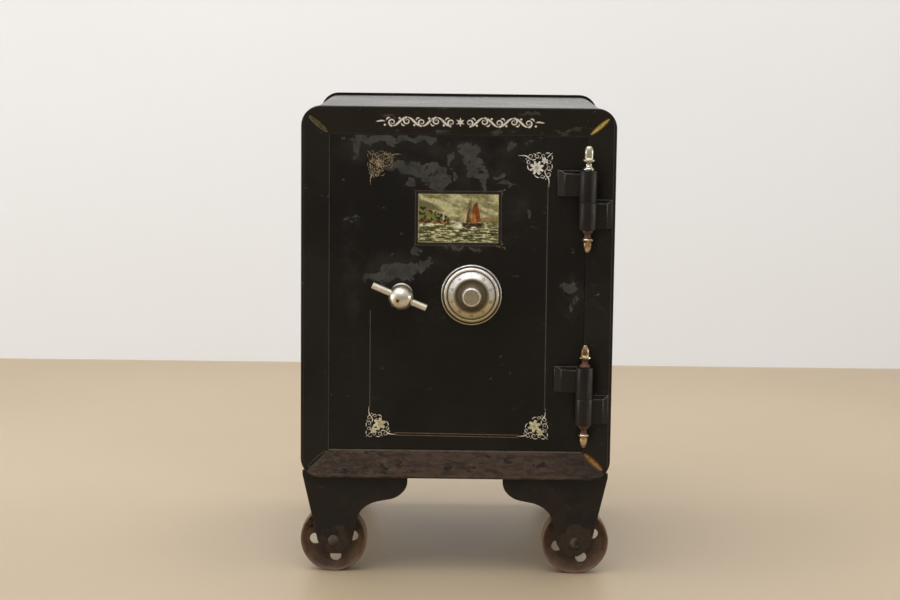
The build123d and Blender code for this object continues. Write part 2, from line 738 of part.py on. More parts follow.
with BuildPart() as wheel_post:
    with BuildSketch(facing(87.0, DIAL_X)):
        Circle(POST_R)
        Circle(DIAL_SPINDLE_R + RUN_CLEAR, mode=Mode.SUBTRACT)
    extrude(amount=87.0 - CASE_FRONT)
write(wheel_post.part, "lock_wheel_post")

for index, depth in enumerate(LOCK_WHEEL_DEPTHS):
    fly_angle = 20 + 45 * index
    fly_x = 20 * math.cos(math.radians(fly_angle))
    fly_z = 20 * math.sin(math.radians(fly_angle))
    with BuildPart() as lock_wheel:
        with BuildSketch(facing(depth + LOCK_WHEEL_T, DIAL_X)):
            Circle(LOCK_WHEEL_R)
            Circle(POST_R + RUN_CLEAR, mode=Mode.SUBTRACT)
            with Locations((-LOCK_WHEEL_R, 0)):
                Rectangle(12, 6, mode=Mode.SUBTRACT)
        extrude(amount=LOCK_WHEEL_T)
        with BuildSketch(facing(depth + LOCK_WHEEL_T, DIAL_X)):
            with Locations((fly_x, fly_z)):
                Circle(1.5)
        extrude(amount=-1.2)
    write(lock_wheel.part, f"lock_wheel_{index + 1}")

with BuildPart() as lock_bolt:
    with BuildSketch(Plane.XY.offset(LOCK_BOLT_TOP)):
        with Locations((DIAL_X, FRONT + lock_bolt_mid)):
            Rectangle(LOCK_BOLT_W, LOCK_BOLT_T)
    extrude(amount=-22)
write(lock_bolt.part, "lock_bolt")

LEVER_T = 4.0
fence_x = DIAL_X - LOCK_WHEEL_R - 1.5
lever_top = LOCK_BOLT_TOP - 18.0
bolt_left = DIAL_X - LOCK_BOLT_W / 2
with BuildPart() as lock_lever:
    with BuildSketch(facing(85.0, 0, 0)):
        with BuildLine():
            Polyline(
                (fence_x - LEVER_T, 496),
                (fence_x, 496),
                (fence_x, lever_top - LEVER_T),
                (bolt_left, lever_top - LEVER_T),
                (bolt_left, lever_top),
                (fence_x - LEVER_T, lever_top),
                close=True,
            )
        make_face()
    extrude(amount=16)
write(lock_lever.part, "lock_lever")

# ---- T-handle with its flange, spindle and pinion ----
neck_r = math.sqrt(BALL_R**2 - BALL_NECK**2)
with BuildPart() as handle_ball:
    with BuildSketch(turning(HANDLE_X, MID_Z)):
        with BuildLine():
            ThreePointArc(
                (BALL_DEPTH - BALL_R, 0), (BALL_DEPTH, BALL_R), (BALL_DEPTH + BALL_NECK, neck_r)
            )
            Line((BALL_DEPTH + BALL_NECK, neck_r), (-9, 10))
            Line((-9, 10), (5.5, 12.5))
            Line((5.5, 12.5), (5.5, 0))
            Line((5.5, 0), (BALL_DEPTH - BALL_R, 0))
        make_face()
    revolve(axis=axis_y(HANDLE_X, MID_Z))
    with BuildSketch(facing(5.5, HANDLE_X)):
        Circle(HANDLE_SPINDLE_R)
    extrude(amount=5.5 - SPINDLE_FRONT, mode=Mode.SUBTRACT)
    bar_plane = Plane(
        origin=(HANDLE_X, FRONT + BALL_DEPTH, MID_Z),
        x_dir=(0, 1, 0),
        z_dir=(-math.cos(math.radians(BAR_TILT)), 0, math.sin(math.radians(BAR_TILT))),
    )
    with BuildSketch(bar_plane):
        Circle(BAR_R)
    extrude(amount=BALL_R + 5, both=True, mode=Mode.SUBTRACT)
write(handle_ball.part, "handle_ball")

with BuildPart() as handle_bar:
    with BuildSketch(bar_plane):
        Circle(BAR_R)
    extrude(amount=BAR_LENGTH / 2 + BAR_SHIFT)
    with BuildSketch(bar_plane):
        Circle(BAR_R)
    extrude(amount=BAR_SHIFT - BAR_LENGTH / 2)
    fillet(handle_bar.edges().filter_by(GeomType.CIRCLE), radius=1.2)
write(handle_bar.part, "handle_bar")

PINION_FRONT = 77.5
PINION_REAR = 86.5
with BuildPart() as handle_spindle:
    with BuildSketch(facing(92.0, HANDLE_X)):
        Circle(HANDLE_SPINDLE_R)
    extrude(amount=92.0 - SPINDLE_FRONT)
write(handle_spindle.part, "handle_spindle")

with BuildPart() as flange:
    with BuildSketch(facing(DOOR_FACE, HANDLE_X)):
        Circle(FLANGE_R)
        Circle(HANDLE_SPINDLE_R + RUN_CLEAR, mode=Mode.SUBTRACT)
    extrude(amount=6.0)
    fillet(
        flange.faces().sort_by(Axis.Y)[0].edges().sort_by(SortBy.RADIUS)[-1], radius=2.5
    )
write(flange.part, "handle_flange")


def involute_point(radius, side, half_angle):
    """A point of an involute flank; half_angle is the tooth's half width at the pitch circle."""
    base_r = PITCH_R * math.cos(PRESSURE_ANGLE)
    pitch_inv = math.tan(PRESSURE_ANGLE) - PRESSURE_ANGLE
    roll = math.acos(min(1.0, base_r / radius))
    angle = side * (half_angle + pitch_inv - (math.tan(roll) - roll))
    return (radius * math.cos(angle), radius * math.sin(angle))


base_r = PITCH_R * math.cos(PRESSURE_ANGLE)
root_r = PITCH_R - GEAR_DEDENDUM
tip_r = PITCH_R + GEAR_ADDENDUM
tooth_half = (math.pi * GEAR_MODULE / 2 - GEAR_BACKLASH) / 2 / PITCH_R
flank_radii = [base_r + (tip_r - base_r) * step / 4 for step in range(5)]
upper = [involute_point(r, 1, tooth_half) for r in flank_radii]
lower = [involute_point(r, -1, tooth_half) for r in flank_radii]
foot = (root_r - 1) / base_r

lower_foot = (lower[0][0] * foot, lower[0][1] * foot)
upper_foot = (upper[0][0] * foot, upper[0][1] * foot)

with BuildSketch() as gear_tooth:
    with BuildLine():
        Spline(*upper)
        Line(upper[-1], lower[-1])
        Spline(*lower)
        Line(lower[0], lower_foot)
        Line(lower_foot, upper_foot)
        Line(upper_foot, upper[0])
    make_face()

with BuildPart() as pinion:
    with BuildSketch(facing(PINION_REAR, HANDLE_X)):
        Circle(root_r)
        # a space stands at the top, where the rack's tooth enters
        with PolarLocations(0, GEAR_TEETH, start_angle=90 + 180 / GEAR_TEETH):
            add(gear_tooth.sketch)
        Circle(HANDLE_SPINDLE_R, mode=Mode.SUBTRACT)
    extrude(amount=PINION_REAR - PINION_FRONT)
write(pinion.part, "bolt_pinion")

# ---- Bolt carrier with its rack, the locking bolts and their guides ----
BAR_LEFT = BOLT_SHOULDER
BAR_RIGHT = BOLT_SHOULDER + 20.0
BAR_BOTTOM = MID_Z - 207.0
BAR_TOP = MID_Z + 207.0
RACK_END = HANDLE_X + 34.0
RACK_TOP = 538.0
pitch = math.pi * GEAR_MODULE
rack_line = MID_Z + PITCH_R
rack_root = rack_line + GEAR_DEDENDUM
rack_half = (pitch / 2 - GEAR_BACKLASH) / 2
slope = math.tan(PRESSURE_ANGLE)
LUG_W = 8.0
LUG_X = DIAL_X + LOCK_BOLT_W / 2 + 2.5

with BuildSketch() as rack_tooth:
    with BuildLine():
        Polyline(
            (-rack_half - GEAR_DEDENDUM * slope, GEAR_DEDENDUM + 0.01),
            (-rack_half + GEAR_ADDENDUM * slope, -GEAR_ADDENDUM),
            (rack_half - GEAR_ADDENDUM * slope, -GEAR_ADDENDUM),
            (rack_half + GEAR_DEDENDUM * slope, GEAR_DEDENDUM + 0.01),
            close=True,
        )
    make_face()

with BuildPart() as carrier:
    with BuildSketch(facing(BOLT_DEPTH + BAR_HALF_T, 0, 0)):
        with Locations(((BAR_LEFT + BAR_RIGHT) / 2, MID_Z)):
            Rectangle(BAR_RIGHT - BAR_LEFT, BAR_TOP - BAR_BOTTOM)
        with Locations(((BAR_LEFT + RACK_END) / 2, (rack_root + RACK_TOP) / 2)):
            Rectangle(RACK_END - BAR_LEFT, RACK_TOP - rack_root)
        with Locations(((BAR_LEFT + LUG_X + LUG_W) / 2, ARM_BOTTOM + 7)):
            Rectangle(LUG_X + LUG_W - BAR_LEFT, 14)
        with Locations((LUG_X + LUG_W / 2, ARM_BOTTOM - 4)):
            Rectangle(LUG_W, 10)
        with Locations(*[(HANDLE_X + pitch * step, rack_line) for step in range(-2, 6)]):
            add(rack_tooth.sketch)
    extrude(amount=2 * BAR_HALF_T)
    tail_plane = Plane(
        origin=(BAR_RIGHT + 1, FRONT + BOLT_DEPTH, 0), x_dir=(0, 1, 0), z_dir=(-1, 0, 0)
    )
    with BuildSketch(tail_plane):
        with Locations(*[(0, -z) for z in BOLT_HEIGHTS]):
            Circle(4.0)
    extrude(amount=BAR_RIGHT - BAR_LEFT + 2, mode=Mode.SUBTRACT)
write(carrier.part, "bolt_carrier")

with BuildPart() as bolts:
    with BuildSketch(
        Plane(origin=(BOLT_SHOULDER, FRONT + BOLT_DEPTH, 0), x_dir=(0, 1, 0), z_dir=(-1, 0, 0))
    ):
        with Locations(*[(0, -z) for z in BOLT_HEIGHTS]):
            Circle(BOLT_R)
    extrude(amount=BOLT_SHOULDER - BOLT_TIP)
    chamfer(bolts.faces().filter_by(Axis.X).group_by(Axis.X)[0].edges(), length=2.0)
    with BuildSketch(
        Plane(origin=(BAR_RIGHT + 3, FRONT + BOLT_DEPTH, 0), x_dir=(0, 1, 0), z_dir=(-1, 0, 0))
    ):
        with Locations(*[(0, -z) for z in BOLT_HEIGHTS]):
            Circle(4.0)
    extrude(amount=BAR_RIGHT + 3 - BOLT_SHOULDER)
write(bolts.part, "locking_bolts")

GUIDE_W = 64.0
GUIDE_H = 18.0
GUIDE_REAR = 92.0
with BuildPart() as guides:
    for end in (-1, 1):
        guide_z = MID_Z + end * (BAR_TOP - MID_Z - 3)
        with BuildSketch(facing(GUIDE_REAR, BOLT_SHOULDER, guide_z)):
            Rectangle(GUIDE_W, GUIDE_H)
        extrude(amount=GUIDE_REAR - PLUG_1_REAR)
        with BuildSketch(facing(BOLT_DEPTH + BAR_HALF_T + 0.1, BOLT_SHOULDER, guide_z - end * 5)):
            Rectangle(GUIDE_W + 1, GUIDE_H)
        extrude(amount=2 * BAR_HALF_T + 0.2, mode=Mode.SUBTRACT)
write(guides.part, "bolt_bar_guides")


# ---- Hinges ----
def face_depth(x):
    """Depth of the front frame's sloping face at a distance from the middle."""
    return FRAME_T * (OPENING_W / 2 + SPLAY - x) / SPLAY


FRAME_LEAF_END = 269.0
DOOR_LEAF_START = 173.0
KNUCKLE_GAP = 0.2
hinge_axis_y = FRONT + HINGE_DEPTH


DOOR_LEAF_SLOPE = 12.0  # the leaf's end slopes down to the door over this width
FRAME_LEAF_SLOPE = 9.0
TOP_SLOPE = 6.5
DOOR_LEAF_FRONT = -3.0
FRAME_LEAF_FRONT = -6.0


def sloped_top(leaf_top, front, low):
    """The block that gives a leaf its sloping top edge, looking along X."""
    with BuildPart() as block:
        with BuildSketch(Plane.YZ.offset(DOOR_LEAF_START - 1)):
            with BuildLine():
                Polyline(
                    (FRONT + DOOR_FACE + 1, low),
                    (FRONT + DOOR_FACE + 1, leaf_top),
                    (FRONT + front + TOP_SLOPE, leaf_top),
                    (FRONT + front - 1, leaf_top - TOP_SLOPE - 1),
                    (FRONT + front - 1, low),
                    close=True,
                )
            make_face()
        extrude(amount=FRAME_LEAF_END - DOOR_LEAF_START + 2)
    return block.part


def barrel(low, high, bore):
    """One knuckle of a hinge with its bore."""
    with BuildPart() as knuckle:
        with BuildSketch(Plane.XY.offset(low)):
            with Locations((HINGE_X, hinge_axis_y)):
                Circle(KNUCKLE_R)
        extrude(amount=high - low)
        with BuildSketch(Plane.XY.offset(low)):
            with Locations((HINGE_X, hinge_axis_y)):
                Circle(bore)
        extrude(amount=high - low, mode=Mode.SUBTRACT)
    return knuckle.part


def door_leaf(seam):
    """Knuckle and leaf on the door, above the seam."""
    low = seam + DOOR_KNUCKLE_H - LEAF_H
    with BuildPart() as leaf:
        with BuildSketch(Plane.XY.offset(low)):
            with BuildLine():
                Polyline(
                    (DOOR_LEAF_START, FRONT + DOOR_FACE),
                    (DOOR_LEAF_START, FRONT + 6),
                    (DOOR_LEAF_START + DOOR_LEAF_SLOPE, FRONT + DOOR_LEAF_FRONT + 1.5),
                    (HINGE_X - 15, FRONT + DOOR_LEAF_FRONT),
                    (HINGE_X - 6, FRONT + DOOR_LEAF_FRONT),
                    (HINGE_X - 3, FRONT + DOOR_FACE),
                    close=True,
                )
            make_face()
        extrude(amount=LEAF_H - 1)
        add(sloped_top(low + LEAF_H - 1, DOOR_LEAF_FRONT, low), mode=Mode.INTERSECT)
        with BuildSketch(Plane.XY.offset(seam + KNUCKLE_GAP)):
            with Locations((HINGE_X, hinge_axis_y)):
                Circle(PIN_R + 1)
        extrude(amount=DOOR_KNUCKLE_H - KNUCKLE_GAP, mode=Mode.SUBTRACT)
        add(barrel(seam + KNUCKLE_GAP, seam + DOOR_KNUCKLE_H, PIN_R + RUN_CLEAR))
    return leaf.part


def frame_leaf(seam):
    """Knuckle and leaf on the front frame. The leaf reaches a little above the seam."""
    low = seam - LEAF_H
    height = LEAF_H + FRAME_LEAF_RISE
    with BuildPart() as leaf:
        with BuildSketch(Plane.XY.offset(low)):
            with BuildLine():
                Polyline(
                    (HINGE_X + 5, FRONT - 2),
                    (HINGE_X + 12, FRONT + FRAME_LEAF_FRONT),
                    (FRAME_LEAF_END - FRAME_LEAF_SLOPE, FRONT + FRAME_LEAF_FRONT),
                    (FRAME_LEAF_END, FRONT - 0.5),
                    (FRAME_LEAF_END, FRONT + face_depth(FRAME_LEAF_END) - 0.05),
                    (HINGE_X + 9, FRONT + face_depth(HINGE_X + 9) - 0.05),
                    close=True,
                )
            make_face()
        extrude(amount=height)
        add(sloped_top(low + height, FRAME_LEAF_FRONT, low), mode=Mode.INTERSECT)
        with BuildSketch(Plane.XY.offset(low - 2)):
            with Locations((HINGE_X, hinge_axis_y)):
                Circle(PIN_R + 1)
        extrude(amount=LEAF_H + 2, mode=Mode.SUBTRACT)
        # room for the door's knuckle above the seam
        with BuildSketch(Plane.XY.offset(seam - KNUCKLE_GAP)):
            with Locations((HINGE_X, hinge_axis_y)):
                Circle(KNUCKLE_R + 0.6)
        extrude(amount=FRAME_LEAF_RISE + KNUCKLE_GAP + 1, mode=Mode.SUBTRACT)
        add(barrel(seam - FRAME_KNUCKLE_H, seam - KNUCKLE_GAP, PIN_R + 0.02))
    return leaf.part


def hinge_pin(seam):
    with BuildPart() as pin:
        with BuildSketch(Plane.XY.offset(seam - FRAME_KNUCKLE_H - 4)):
            with Locations((HINGE_X, hinge_axis_y)):
                Circle(PIN_R)
        extrude(amount=FRAME_KNUCKLE_H + DOOR_KNUCKLE_H + 8)
    return pin.part


TOP_FINIAL = ((8.0, 22.5), (8.1, 33.0), (6.2, 40.5), (0.0, 43.5))  # radius, height
LOW_FINIAL = ((7.8, 22.5), (7.2, 31.0), (4.6, 38.0), (0.0, 41.0))


def finial(base, up, dome):
    """Turned finial on a hinge pin; up is 1 above the hinge and -1 below it."""
    profile = Plane(origin=(HINGE_X, hinge_axis_y, base), x_dir=(1, 0, 0), z_dir=(0, -1, 0))
    outline = (
        (PIN_R + 0.02, 0.3),
        (9.0, 0.3),
        (9.7, 1.4),
        (9.7, 3.6),
        (8.6, 5.2),
        (6.6, 7.0),
        (5.4, 9.5),
        (5.4, 12.0),
        (7.0, 14.0),
        (9.6, 15.4),
        (11.0, 17.2),
        (10.6, 19.4),
        (8.8, 21.0),
        dome[0],
    )
    tip = dome[-1][1]
    with BuildPart() as turning_piece:
        with BuildSketch(profile):
            with BuildLine():
                Polyline(*[(r, up * h) for r, h in outline])
                Spline(*[(r, up * h) for r, h in dome], tangents=((0.0, up), (-1, 0)))
                Line((0, up * tip), (0, up * 4.1))
                Line((0, up * 4.1), (PIN_R + 0.02, up * 4.1))
                Line((PIN_R + 0.02, up * 4.1), (PIN_R + 0.02, up * 0.3))
            make_face()
        revolve(axis=Axis((HINGE_X, hinge_axis_y, 0), (0, 0, 1)))
    return turning_piece.part


upper_seam, lower_seam = HINGE_SEAMS
for name, seam in (("upper", upper_seam), ("lower", lower_seam)):
    write(door_leaf(seam), f"{name}_hinge_door_leaf")
    write(frame_leaf(seam), f"{name}_hinge_frame_leaf")
    write(hinge_pin(seam), f"{name}_hinge_pin")

write(finial(upper_seam + DOOR_KNUCKLE_H, 1, TOP_FINIAL), "upper_hinge_top_finial")
with BuildPart() as finials:
    add(finial(upper_seam - FRAME_KNUCKLE_H, -1, LOW_FINIAL))
    add(finial(lower_seam + DOOR_KNUCKLE_H, 1, LOW_FINIAL))
    add(finial(lower_seam - FRAME_KNUCKLE_H, -1, LOW_FINIAL))
write(finials.part, "hinge_finials")
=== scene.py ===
import math

import bpy
import numpy as np
from mathutils import Matrix, Vector


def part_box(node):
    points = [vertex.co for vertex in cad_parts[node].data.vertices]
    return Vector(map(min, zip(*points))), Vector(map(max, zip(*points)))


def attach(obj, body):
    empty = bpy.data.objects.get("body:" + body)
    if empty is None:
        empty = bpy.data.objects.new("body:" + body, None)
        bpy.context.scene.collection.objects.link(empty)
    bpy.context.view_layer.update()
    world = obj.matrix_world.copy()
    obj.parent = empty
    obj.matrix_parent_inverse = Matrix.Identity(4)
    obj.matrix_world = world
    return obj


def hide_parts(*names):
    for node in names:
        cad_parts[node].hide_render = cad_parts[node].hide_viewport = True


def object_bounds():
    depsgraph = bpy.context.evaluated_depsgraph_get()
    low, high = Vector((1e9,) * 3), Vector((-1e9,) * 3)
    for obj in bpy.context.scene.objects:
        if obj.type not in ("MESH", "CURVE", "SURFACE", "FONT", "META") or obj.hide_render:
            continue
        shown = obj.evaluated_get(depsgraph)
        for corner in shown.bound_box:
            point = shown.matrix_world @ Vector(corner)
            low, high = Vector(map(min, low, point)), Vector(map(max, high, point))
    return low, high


# Looks of an old painted floor safe on four iron wheels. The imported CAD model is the
# frame: its nodes keep their place and shape and get worn paint, rust, nickel, brass and
# wood here, and the thin painted and gilt decoration, the picture, the dial's marks and
# the reeded ring are modelled around them. Metres; decoration is written in millimetres.

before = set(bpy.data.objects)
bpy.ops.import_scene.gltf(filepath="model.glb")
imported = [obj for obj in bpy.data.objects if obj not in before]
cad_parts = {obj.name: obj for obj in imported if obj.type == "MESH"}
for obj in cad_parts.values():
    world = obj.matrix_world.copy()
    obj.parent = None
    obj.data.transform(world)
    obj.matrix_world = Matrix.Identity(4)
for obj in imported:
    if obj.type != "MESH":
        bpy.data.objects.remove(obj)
cad_box = [list(corner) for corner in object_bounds()]

MM = 0.001
scene = bpy.context.scene


# ---- Places taken from the frame ----
def middle(node):
    low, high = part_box(node)
    return (low + high) / 2


DOOR_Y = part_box("door_face_plate")[0].y
frame_low, frame_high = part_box("front_frame")
MID_X = (frame_low.x + frame_high.x) / 2
MID_Z = (frame_low.z + frame_high.z) / 2
HALF_W = (frame_high.x - frame_low.x) / 2
HALF_H = (frame_high.z - frame_low.z) / 2
DIAL_X = middle("dial_ring").x
DIAL_Z = middle("dial").z
RIM_W = 5 * MM  # flat rim of the front frame, outside its sloping face
SLOPE_W = 45 * MM
INSIDE = RIM_W + SLOPE_W  # from the frame's outline in to the door's opening


def door_face(x, z):
    return DOOR_Y


def frame_face(x, z):
    """Y of the front frame's rim or sloping face at a place on it."""
    inside = min(HALF_W - abs(x - MID_X), HALF_H - abs(z - MID_Z))
    return frame_low.y + (DOOR_Y - frame_low.y) * min(max((inside - RIM_W) / SLOPE_W, 0), 1)


# ---- Node materials ----
class Value:
    """A shader socket. Arithmetic on it adds maths nodes to its look."""

    def __init__(self, look, socket):
        self.look = look
        self.socket = socket

    def combine(self, operation, *inputs):
        whole = self.socket.type in ("VECTOR", "RGBA")
        return (self.look.vector if whole else self.look.math)(operation, *inputs)

    def __add__(self, other):
        return self.combine("ADD", self, other)

    def __sub__(self, other):
        return self.combine("SUBTRACT", self, other)

    def __rsub__(self, other):
        return self.combine("SUBTRACT", other, self)

    def __mul__(self, other):
        return self.combine("MULTIPLY", self, other)

    def __abs__(self):
        return self.combine("ABSOLUTE", self)

    def length(self):
        return self.look.vector("LENGTH", self)

    def part(self, axis):
        return self.look.value("ShaderNodeSeparateXYZ", axis, {0: self})

    def step(self, low, high, to_low=0.0, to_high=1.0):
        """A smooth step from low to high; low may be the larger of the two."""
        if low > high:
            low, high, to_low, to_high = high, low, to_high, to_low
        return self.look.value("ShaderNodeMapRange", "Result", {
            "Value": self, "From Min": low, "From Max": high, "To Min": to_low, "To Max": to_high,
        }, interpolation_type="SMOOTHSTEP")


class Look:
    """A node material (or sky) under construction, with the colour laid down so far."""

    def __init__(self, name, kind=bpy.data.materials):
        self.made = kind.new(name)
        self.made.use_nodes = True
        self.tree = self.made.node_tree
        self.place = self.value("ShaderNodeTexCoord", "Object")
        self.x = self.place.part("X")
        self.z = self.place.part("Z")
        self.colour = None

    def add(self, kind, feeds=None, **settings):
        """Adds a node. feeds are its inputs, by number or name."""
        node = self.tree.nodes.new(kind)
        for key, setting in settings.items():
            setattr(node, key, setting)
        self.feed(node, feeds or {})
        return node

    def value(self, kind, output, feeds=None, **settings):
        return Value(self, self.add(kind, feeds, **settings).outputs[output])

    def feed(self, node, feeds):
        for key, fed in feeds.items():
            socket = node.inputs[key]
            if isinstance(fed, Value):
                self.tree.links.new(fed.socket, socket)
            elif socket.type == "RGBA":
                socket.default_value = (*fed, 1)
            else:
                socket.default_value = fed

    def math(self, operation, a, b=0.0, clamp=False):
        return self.value("ShaderNodeMath", 0, {0: a, 1: b}, operation=operation, use_clamp=clamp)

    def vector(self, operation, a, b=(0, 0, 0)):
        output = "Value" if operation in ("LENGTH", "DOT_PRODUCT") else "Vector"
        return self.value("ShaderNodeVectorMath", output, {0: a, 1: b}, operation=operation)

    def mix(self, share, a, b):
        return self.value("ShaderNodeMix", 2, {0: share, 6: a, 7: b}, data_type="RGBA")

    def lay(self, share, colour):
        """Lays a colour over what is there."""
        self.colour = self.mix(share, self.colour, colour)

    def noise(self, scale, detail=4.0, rough=0.55, stretch=None, twist=0.0, output="Fac"):
        return self.value("ShaderNodeTexNoise", output, {
            "Vector": self.place * stretch if stretch else self.place,
            "Scale": scale, "Detail": detail, "Roughness": rough, "Distortion": twist,
        })

    def normal(self):
        return self.value("ShaderNodeNewGeometry", "Normal")

    def rounded(self, radius):
        return self.value("ShaderNodeBevel", "Normal", {"Radius": radius}, samples=6)

    def edge(self, radius):
        """How sharply the surface turns near a point: 0 on a flat face, more at an edge."""
        return 1 - self.vector("DOT_PRODUCT", self.rounded(radius), self.normal())

    def band(self, along, at, half):
        """1 where along is within half of at, in metres, with a thin soft edge."""
        return abs(along - at).step(half * 1.25, half * 0.75)

    def radius(self, x, z):
        """Distance from the axis along Y through (x, z)."""
        return ((self.place - (x, 0, z)) * (1, 0, 1)).length()

    def beside(self, axle):
        """Distance from the nearer of two mirrored axes along Y through (+-x, z)."""
        return ((abs(self.place) - (axle[0], 0, axle[1])) * (1, 0, 1)).length()

    def finish(self, roughness, metal=0.0, bump=None, height=0.2 * MM, rounding=0.0, coat=0.0, gloss=0.5):
        shader = self.tree.nodes["Principled BSDF"]
        self.feed(shader, {
            "Base Color": self.colour, "Specular IOR Level": gloss, "Roughness": roughness,
            "Metallic": metal, "Coat Weight": coat, "Coat Roughness": 0.22,
        })
        normal = {"Normal": self.rounded(rounding)} if rounding else {}
        if bump is not None:
            normal["Normal"] = self.value(
                "ShaderNodeBump", "Normal", {"Height": bump, "Distance": height, **normal})
        self.feed(shader, normal)
        return self.made


def shade(colour, share):
    """The colour, darker or lighter."""
    return tuple(share * value for value in colour)


def patch_mask(look, patches):
    """1 inside the patches (x, z, half width, half height, in mm), 0 outside, with ragged edges."""
    warp = look.noise(38, 5, 0.5, output="Color") - (0.5, 0.5, 0.5)
    ragged = look.place + warp * (0.042, 0.0, 0.042)
    total = 0.0
    for x, z, wide, high in patches:
        share = (ragged - (x * MM, 0, z * MM)) * (1 / (wide * MM), 0, 1 / (high * MM))
        total = look.math("MAXIMUM", share.length().step(1.3, 0.5), total)
    return total


def japanned_iron(name, patches=(), smudges=(), wear=1.0, rust=0.0, dust=0.0, shine=0.36, tone=1.0):
    """Old black japan paint: flaked grey patches, faint smudges, chips, scratches and worn edges.
    The look keeps its flecks, chips, shine and dust for the coats that follow."""
    look = Look(name)
    look.shine, look.dust = shine, dust
    look.colour = look.mix(look.noise(7, 3).step(0.35, 0.65), shade((0.0042, 0.0037, 0.0029), tone),
                           shade((0.0078, 0.0063, 0.0046), tone))
    look.flecks = look.noise(95, 6, 0.6, twist=0.7)
    look.worn = 0.0
    if smudges:
        haze = patch_mask(look, smudges) * look.noise(20, 5, 0.6).step(0.36, 0.6)
        look.lay(haze * 0.55, (0.026, 0.0245, 0.0215))
    if patches:
        flecks = look.noise(50, 5, 0.66, stretch=(0.8, 1, 1.2), twist=0.9) * 0.55 + look.flecks * 0.45
        look.worn = (flecks + patch_mask(look, patches).step(0.0, 1.0, -0.048, 0.158)).step(0.58, 0.596)
        soft = look.noise(60, 3).step(0.3, 0.7)
        look.lay(look.worn, look.mix(soft, (0.034, 0.0337, 0.03), (0.06, 0.0588, 0.053)))
    look.chips = look.math("MULTIPLY", look.noise(46, 5, 0.6).step(0.695, 0.71), wear, clamp=True)
    look.lay(look.chips * 0.7, (0.048, 0.046, 0.042))
    crack = abs(look.noise(16, 2, 0.4, twist=1.6) - 0.5).step(0.0035, 0.0012)
    scratch = crack * look.noise(9, 1).step(0.6, 0.66)
    look.lay(scratch * (0.5 * wear), (0.05, 0.048, 0.044))
    if rust:
        brown = (look.noise(22, 6, 0.65) + rust * 0.2).step(0.56, 0.74)
        look.lay(brown * min(rust, 1), (0.022, 0.0135, 0.009))
    rubbed = look.edge(1.6 * MM).step(0.03, 0.14) * look.flecks.step(0.4, 0.62)
    look.lay(look.math("MULTIPLY", rubbed, 0.7 * wear, clamp=True), (0.085, 0.074, 0.062))
    return look


def paint_over(look, gloss=0.24):
    """Finish a japanned surface: settled dust, sheen and the relief of flaked paint."""
    rough = look.noise(5, 4).step(0.3, 0.7, look.shine - 0.05, look.shine + 0.1)
    if look.dust:
        top = look.normal().part("Z").step(0.6, 0.98)
        look.lay(top * look.dust * look.noise(5, 5).step(0.2, 0.8), (0.1648, 0.16, 0.1552))
        rough = rough - top * 0.1
    rough = rough + look.noise(240, 3) * 0.14 - 0.07
    bare = look.math("MAXIMUM", look.worn, look.chips)
    rough = look.math("ADD", rough, bare * 0.2, clamp=True)
    relief = look.noise(28, 2) * 0.6 + look.noise(420, 3) * 0.18 - bare * 0.4
    return look.finish(rough, bump=relief, height=0.16 * MM, rounding=0.7 * MM, gloss=gloss)


def plain_japan(name, **settings):
    return paint_over(japanned_iron(name, **settings))


def hinge_japan(node):
    """A hinge leaf with painted shade on its upward-facing slopes, its arrises rubbed and given a painted
    highlight that is strongest towards the top, and a barrel with a faint painted upright sheen."""
    look = japanned_iron(f"{node}_japan", wear=0.7, rust=0.3, shine=0.34, tone=1.75)
    leaf_low, leaf_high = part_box(node)
    if "door" in node:  # the barrel reaches below the door's leaf
        leaf_low = leaf_low + (leaf_high - leaf_low) * 0.45
    from_pin = (look.place - middle("upper_hinge_pin")) * (1, 1, 0)
    on_leaf = from_pin.length().step(15.6 * MM, 17.0 * MM)
    # painted shade: the leaf's upward-facing slopes are darkened
    slope = look.normal().part("Z").step(0.1, 0.4) * on_leaf
    look.lay(slope * 0.8, (0.0045, 0.004, 0.0032))
    # rubbed paint on the arrises, with a painted highlight on them that fades towards the bottom of the leaf
    arris = look.edge(2.6 * MM).step(0.003, 0.014) * on_leaf * look.flecks.step(0.36, 0.54, 0.4, 1.0)
    height = look.z.step(leaf_low.z, leaf_high.z)
    look.lay(arris * height.step(0.0, 0.85, 0.05, 1.0) * 0.95, (0.15, 0.144, 0.13))
    # painted sheen: an upright lighter band down the barrel
    across = from_pin.part("X")
    sheen = abs(across - 7.5 * MM).step(5.0 * MM, 1.0 * MM) + across.step(-9 * MM, -14 * MM, 0, 0.55)
    look.lay(sheen * (1 - on_leaf) * look.noise(40, 4).step(0.3, 0.55, 0.35, 1.0), (0.036, 0.034, 0.03))
    return paint_over(look, slope.step(0.0, 1.0, 0.24, 0.04))


def leg_japan(name, axle):
    """Painted legs, gone to brown rust round the wheel axles at (x, z) on both sides."""
    look = japanned_iron(name, wear=1.6, rust=0.75, shine=0.4, tone=1.5)
    around = look.beside(axle).step(44 * MM, 20 * MM, 0.0, 0.22)
    brown = (look.noise(34, 5, 0.62) + around).step(0.62, 0.74)
    fine = look.noise(260, 4, 0.6).step(0.35, 0.65)
    look.lay(brown * 0.65, look.mix(fine, (0.032, 0.021, 0.0145), (0.058, 0.037, 0.026)))
    return paint_over(look)


